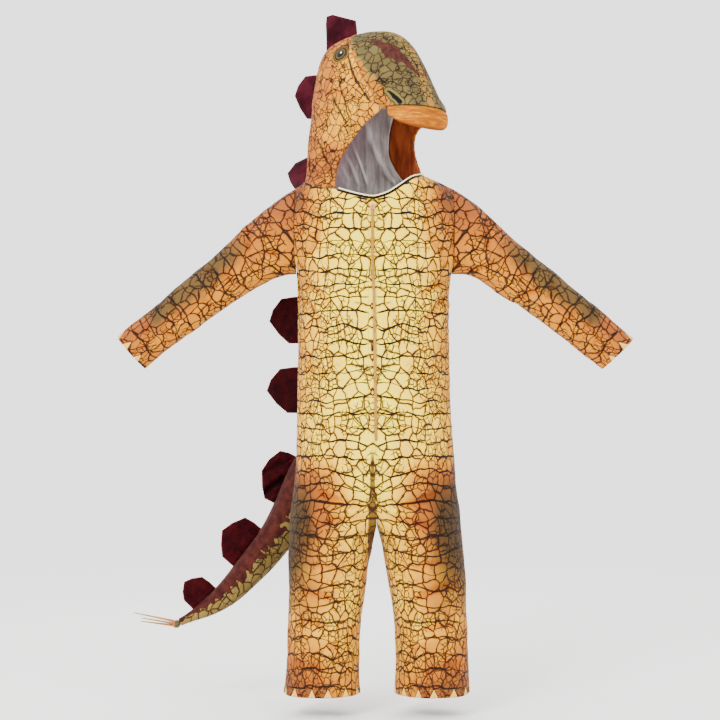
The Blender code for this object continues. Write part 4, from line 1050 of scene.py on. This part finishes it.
# Plates: nine stuffed plates of burgundy velvet, each of two pieces sewn round the edge and
# turned out, with the open side caught in the spine seam. The hip plate droops in folds.
PLATE_FOLDS = [
    # across and up in the photograph, from and to, bend, half width, depth: the hip plate
    (-200, -522, -124, -468, 3, 4.2, 5.2),
    (-192, -542, -124, -486, -2, 3.4, 5),
    (-204, -486, -130, -448, 2, 4.4, 2.6),
    # the two plates further down the tail
    (-235, -560, -190, -590, 4, 6, 1.6),
    (-220, -608, -198, -593, 2, 4, 1.8),
    (-300, -670, -262, -690, 2, 4, 1.4),
    (-290, -656, -260, -662, 2, 4, 1),
    # the back
    (-165, -230, -130, -208, 4, 6, 1.4),
    (-165, -350, -130, -325, 4, 6, 1.4),
    # the hood
    (-70, 258, -48, 248, 2, 4, 1.2),
    (-132, 150, -104, 130, 2, 4, 1.2),
    (-148, 52, -118, 40, 2, 4, 1.2),
]


def velvet_finish(name):
    made, shader, place = finish(name, 0.75, Sheen_Weight=0.06, Sheen_Roughness=0.35,
                                 Sheen_Tint=hue("#B02030"), Specular_IOR_Level=0.03)
    x, y, z = place.parts()
    pile = place.noise(28.0, 3.0, 0.6)
    brush_marks = (x * 2.0 + z).joined(y, z * 2.0 - x).noise(45.0, 3.0, 0.6)
    shade = (pile * 0.6 + brush_marks * 0.4).shades(0.34, 0.66, "#180205", "#330609")
    # Painted light and shade: the plates up on the hood are lighter and pinker, those behind the back
    # darker.
    lit_plate_tone = pile.shades(0.36, 0.64, "#280810", "#471422")
    shade = (z.rise(-0.10, 0.02) * 0.60).between(shade, lit_plate_tone)
    shade = (z.rise(-0.45, -0.41) * z.rise(-0.02, -0.10) * 0.30).between(shade, hue("#0E0203"))
    # Painted sheen: the velvet is lighter near the rim of each plate.
    rim = place.mark("rim")
    edge = rim.rise(0.0030, 0.0006) * 0.6
    shade = edge.between(shade, hue("#4C1219"))
    # Painted shade in the troughs of the plates' folds.
    shade = place.mark("fold").rise(0.10, 0.75).between(shade, hue("#0C0102"))
    paint(shader, "Base Color", shade)
    relief(shader, place.noise(900.0, 2.0) * 0.5 + pile * 0.5, 0.0005, 0.5)
    return made


def seated(points, hosts, reach=0.006, sink=0.0008):
    """How points near the cloth that holds them move to it, so that the seam shows no gap."""
    move = np.zeros_like(points)
    for k, point in enumerate(points):
        found = [host.find_nearest(Vector(point), reach) for host in hosts]
        found = [one for one in found if one[0] is not None]
        if found:
            place, _, _, away = min(found, key=lambda one: one[3])
            way = place - Vector(point)
            if away > 1e-6:
                move[k] = way * (1.0 + sink / away) * float(smooth(np.array(away), reach, 0.55 * reach))
    return move


velvet = velvet_finish("burgundy_velvet")
host_surfaces = [surface(host) for host in hosts + hoods]
PLATES = [f"plate_{row}_{k}" for row in ("hood", "back", "tail") for k in (1, 2, 3)]
for node in PLATES:
    plate = smoothed(node, 3, "SIMPLE")
    points = points_of(plate.data)
    rim = outline_of(plate.data)
    marked(plate, "rim", rim)
    facing_way = np.sign(points[:, 1] - points[:, 1].mean())
    folds = pressed(in_view(points), PLATE_FOLDS)
    marked(plate, "fold", -folds / DEEP_FOLD)
    shift = folds + 0.0005 * uneven(points, 0.030)
    shift += 0.0006 * np.sin(rim / 0.0016) * smooth(rim, 0.012, 0.002)
    shift *= smooth(rim, 0.0, 0.005)
    move = np.stack([0 * shift, facing_way * shift, 0 * shift], axis=1)
    move += seated(points, host_surfaces)
    dressed(plate, node, velvet, move)


# Tail spikes: three thin stiff spikes of straw-coloured felt, rolled and caught in a small
# knot of the tail's own cloth.
KNOT_SWELL = 0.22


def felt_finish(name, dark, light):
    made, shader, place = finish(name, 0.88, Sheen_Weight=0.05, Specular_IOR_Level=0.1)
    x, y, z = place.parts()
    fibre = (x * 0.5).joined(y * 4.0, z * 4.0).noise(320.0, 3.0, 0.6)
    straw = fibre.shades(0.32, 0.68, dark, light)
    reddish = x.rise(-0.375, -0.345) * x.rise(-0.338, -0.342) * 0.7
    paint(shader, "Base Color", reddish.between(straw, hue("#B06A3C")))
    relief(shader, fibre, 0.0003, 0.6)
    return made


felt = felt_finish("straw_felt", "#7A5420", "#BE9040")
for k in (1, 2, 3):
    node = f"tail_spike_{k}"
    dressed(smoothed(node, 2, "SIMPLE"), node, felt)
knot = smoothed("tail_knot", 3, "SIMPLE")
dressed(knot, "tail_knot", felt_finish("knot_cloth", "#3A311B", "#61532F"),
        KNOT_SWELL * (points_of(knot.data) - points_of(knot.data).mean(axis=0)))


# Zip: a narrow beige tape with its coil down the front, a small pink slider, and a pull tab
# that swings on a pin between the slider's ears. A row of stitches holds each side.
ZIP_TOP = -0.045
ZIP_LOW = -0.418
COIL_PITCH = 0.0016
STITCH = (0.0024, 0.00030)
STITCH_PITCH = 0.00165


def tape_finish(name):
    made, shader, place = finish(name, 0.72, Sheen_Weight=0.1, Specular_IOR_Level=0.35)
    x, _, z = place.parts()
    twill = (x + z).math("SINE", (x + z) * 5200.0) * 0.5 + 0.5
    tone = place.noise(160.0, 2.0)
    shade = tone.shades(0.3, 0.7, "#946A20", "#BC8626")
    paint(shader, "Base Color", (twill * 0.35).between(shade, hue("#6E4E1C")))
    relief(shader, twill, 0.00020, 0.7)
    return made


def beads(name, spots, reach, girth):
    """One mesh of many small rounded threads: each spot gives a middle, its way and the way out."""
    rings = ((-0.5, 0.0), (-0.34, 0.75), (0.0, 1.0), (0.34, 0.75), (0.5, 0.0))
    verts, faces = [], []
    for middle, way, out in spots:
        across = way.cross(out).normalized()
        first = len(verts)
        for share, size in rings:
            count = 1 if size == 0.0 else 6
            for k in range(count):
                angle = 2 * math.pi * k / 6
                swell = (across * math.cos(angle) + out * math.sin(angle)) * girth * size
                verts.append(middle + way * (share * reach) + swell)
        start, end = first, first + 19
        for k in range(6):
            nxt = (k + 1) % 6
            faces.append((start, first + 1 + nxt, first + 1 + k))
            faces.append((end, first + 13 + k, first + 13 + nxt))
            for ring in (first + 1, first + 7):
                faces.append((ring + k, ring + nxt, ring + 6 + nxt, ring + 6 + k))
    mesh = bpy.data.meshes.new(name)
    mesh.from_pydata(verts, [], faces)
    work = bmesh.new()
    work.from_mesh(mesh)
    bmesh.ops.recalc_face_normals(work, faces=work.faces)
    work.to_mesh(mesh)
    work.free()
    piece = bpy.data.objects.new(name, mesh)
    bpy.context.scene.collection.objects.link(piece)
    return piece


tape = smoothed("zip_tape", 2)
dressed(tape, "zip_tape", tape_finish("zip_twill"))
tape_surface = surface(tape)
spots = []
for k in range(int((ZIP_TOP - ZIP_LOW) / COIL_PITCH)):
    height = ZIP_TOP - (k + 0.5) * COIL_PITCH
    place, out = tape_surface.ray_cast(Vector((CENTRE_X, -0.3, height)), Vector((0.0, 1.0, 0.0)))[:2]
    if place:
        tilt = Vector((1.0, 0.0, 0.12 if k % 2 else -0.12)).normalized()
        spots.append((place + out * 0.00012, tilt, out))
coil = beads("zip_coil", spots, 0.0024, 0.00052)
coil_finish, coil_shader, coil_place = finish("coil_nylon", 0.50, Specular_IOR_Level=0.25)
paint(coil_shader, "Base Color", coil_place.noise(400.0, 1.0).shades(0.3, 0.7, "#986E24", "#C08C2E"))
dressed(coil, None, coil_finish)

lacquer, lacquer_shader, lacquer_place = finish("pink_lacquer", 0.32, Coat_Weight=0.5, Coat_Roughness=0.15)
paint(lacquer_shader, "Base Color", lacquer_place.noise(300.0, 2.0).shades(0.3, 0.7, "#D89070", "#F4AC88"))
paint(lacquer_shader, "Roughness", lacquer_place.noise(500.0, 2.0) * 0.2 + 0.25)
slider = smoothed("zip_slider", 2)
dressed(slider, "zip_slider", lacquer)
brass, brass_shader, brass_place = finish("pull_metal", 0.36, Metallic=0.9)
paint(brass_shader, "Base Color", brass_place.noise(260.0, 3.0).shades(0.3, 0.7, "#9A6E38", "#C08E50"))
paint(brass_shader, "Roughness", brass_place.noise(600.0, 2.0) * 0.25 + 0.25)
pull = smoothed("zip_pull", 2)
dressed(pull, "zip_pull", brass, body="pull")


# Neck edge: a narrow roll of cream jersey sewn round the open front neckline.
binding = smoothed("neck_binding", 2)
ivory, ivory_shader, ivory_place = finish("ivory_binding", 0.80, Sheen_Weight=0.15)
rib = ivory_place.noise(700.0, 2.0)
paint(ivory_shader, "Base Color", rib.shades(0.3, 0.7, "#E8DCA0", "#F9F6D4"))
relief(ivory_shader, rib, 0.0003, 0.7)
dressed(binding, "neck_binding", ivory)


# Stitching: rows of tan thread that hold the zip, the trouser hems and the sleeve cuffs.
fronts = [surface(panels["front_right"]), surface(panels["front_left"])]
trousers = fronts + [surface(panels["back_right"]), surface(panels["back_left"])]
thread, thread_shader, thread_place = finish("tan_thread", 0.62, Specular_IOR_Level=0.4)
paint(thread_shader, "Base Color", thread_place.noise(900.0, 1.0).shades(0.3, 0.7, "#80591E", "#A8782E"))


def first_hit(surfaces, start, way):
    hits = [found for found in (one.ray_cast(start, way) for one in surfaces) if found[0]]
    return min(hits, key=lambda found: found[3]) if hits else None


def stitch_row(name, surfaces, rays):
    """A row of stitches, one between each two of the places where rays meet the cloth."""
    hits = [first_hit(surfaces, Vector(start), Vector(way).normalized()) for start, way in rays]
    spots = []
    for one, other in zip(hits[::2], hits[1::2]):
        if one and other and (one[0] - other[0]).length < 0.006:
            out = (one[1] + other[1]).normalized()
            spots.append(((one[0] + other[0]) / 2 + out * 0.00008, (other[0] - one[0]).normalized(), out))
    row = beads(name, spots, *STITCH)
    dressed(row, None, thread)
    return row


for side, name in ((-1, "right"), (1, "left")):
    rays = [((CENTRE_X + side * 0.0068, -0.3, ZIP_TOP - STITCH_PITCH * k), (0.0, 1.0, 0.0))
            for k in range(int((ZIP_TOP - ZIP_LOW) / STITCH_PITCH))]
    stitch_row(f"zip_stitches_{name}", fronts, rays)
    turns = [2 * math.pi * k / 236 for k in range(236)]
    rays = [((LEG_X[name] + 0.25 * math.cos(turn) if math.cos(turn) * side > -0.2 else
              LEG_X[name] + 0.088 * math.cos(turn), 0.25 * math.sin(turn), HEM_STITCHING),
             (-math.cos(turn), -math.sin(turn), 0.0)) for turn in turns]
    stitch_row(f"hem_stitches_{name}", trousers, rays)
    middle = Vector((side * SLEEVE_TOP[0], 0.0, SLEEVE_TOP[1]))
    way = Vector((side * SLEEVE_RUN[0], 0.0, SLEEVE_RUN[1])).normalized()
    aside = Vector((0.0, 1.0, 0.0)).cross(way)
    spokes = [aside * math.cos(turn) + Vector((0.0, 1.0, 0.0)) * math.sin(turn) for turn in
              [2 * math.pi * k / 164 for k in range(164)]]
    rays = [(middle + way * CUFF_STITCHING + spoke * 0.12, -spoke) for spoke in spokes]
    row = stitch_row(f"cuff_stitches_{name}", [surface(sleeves[side])], rays)
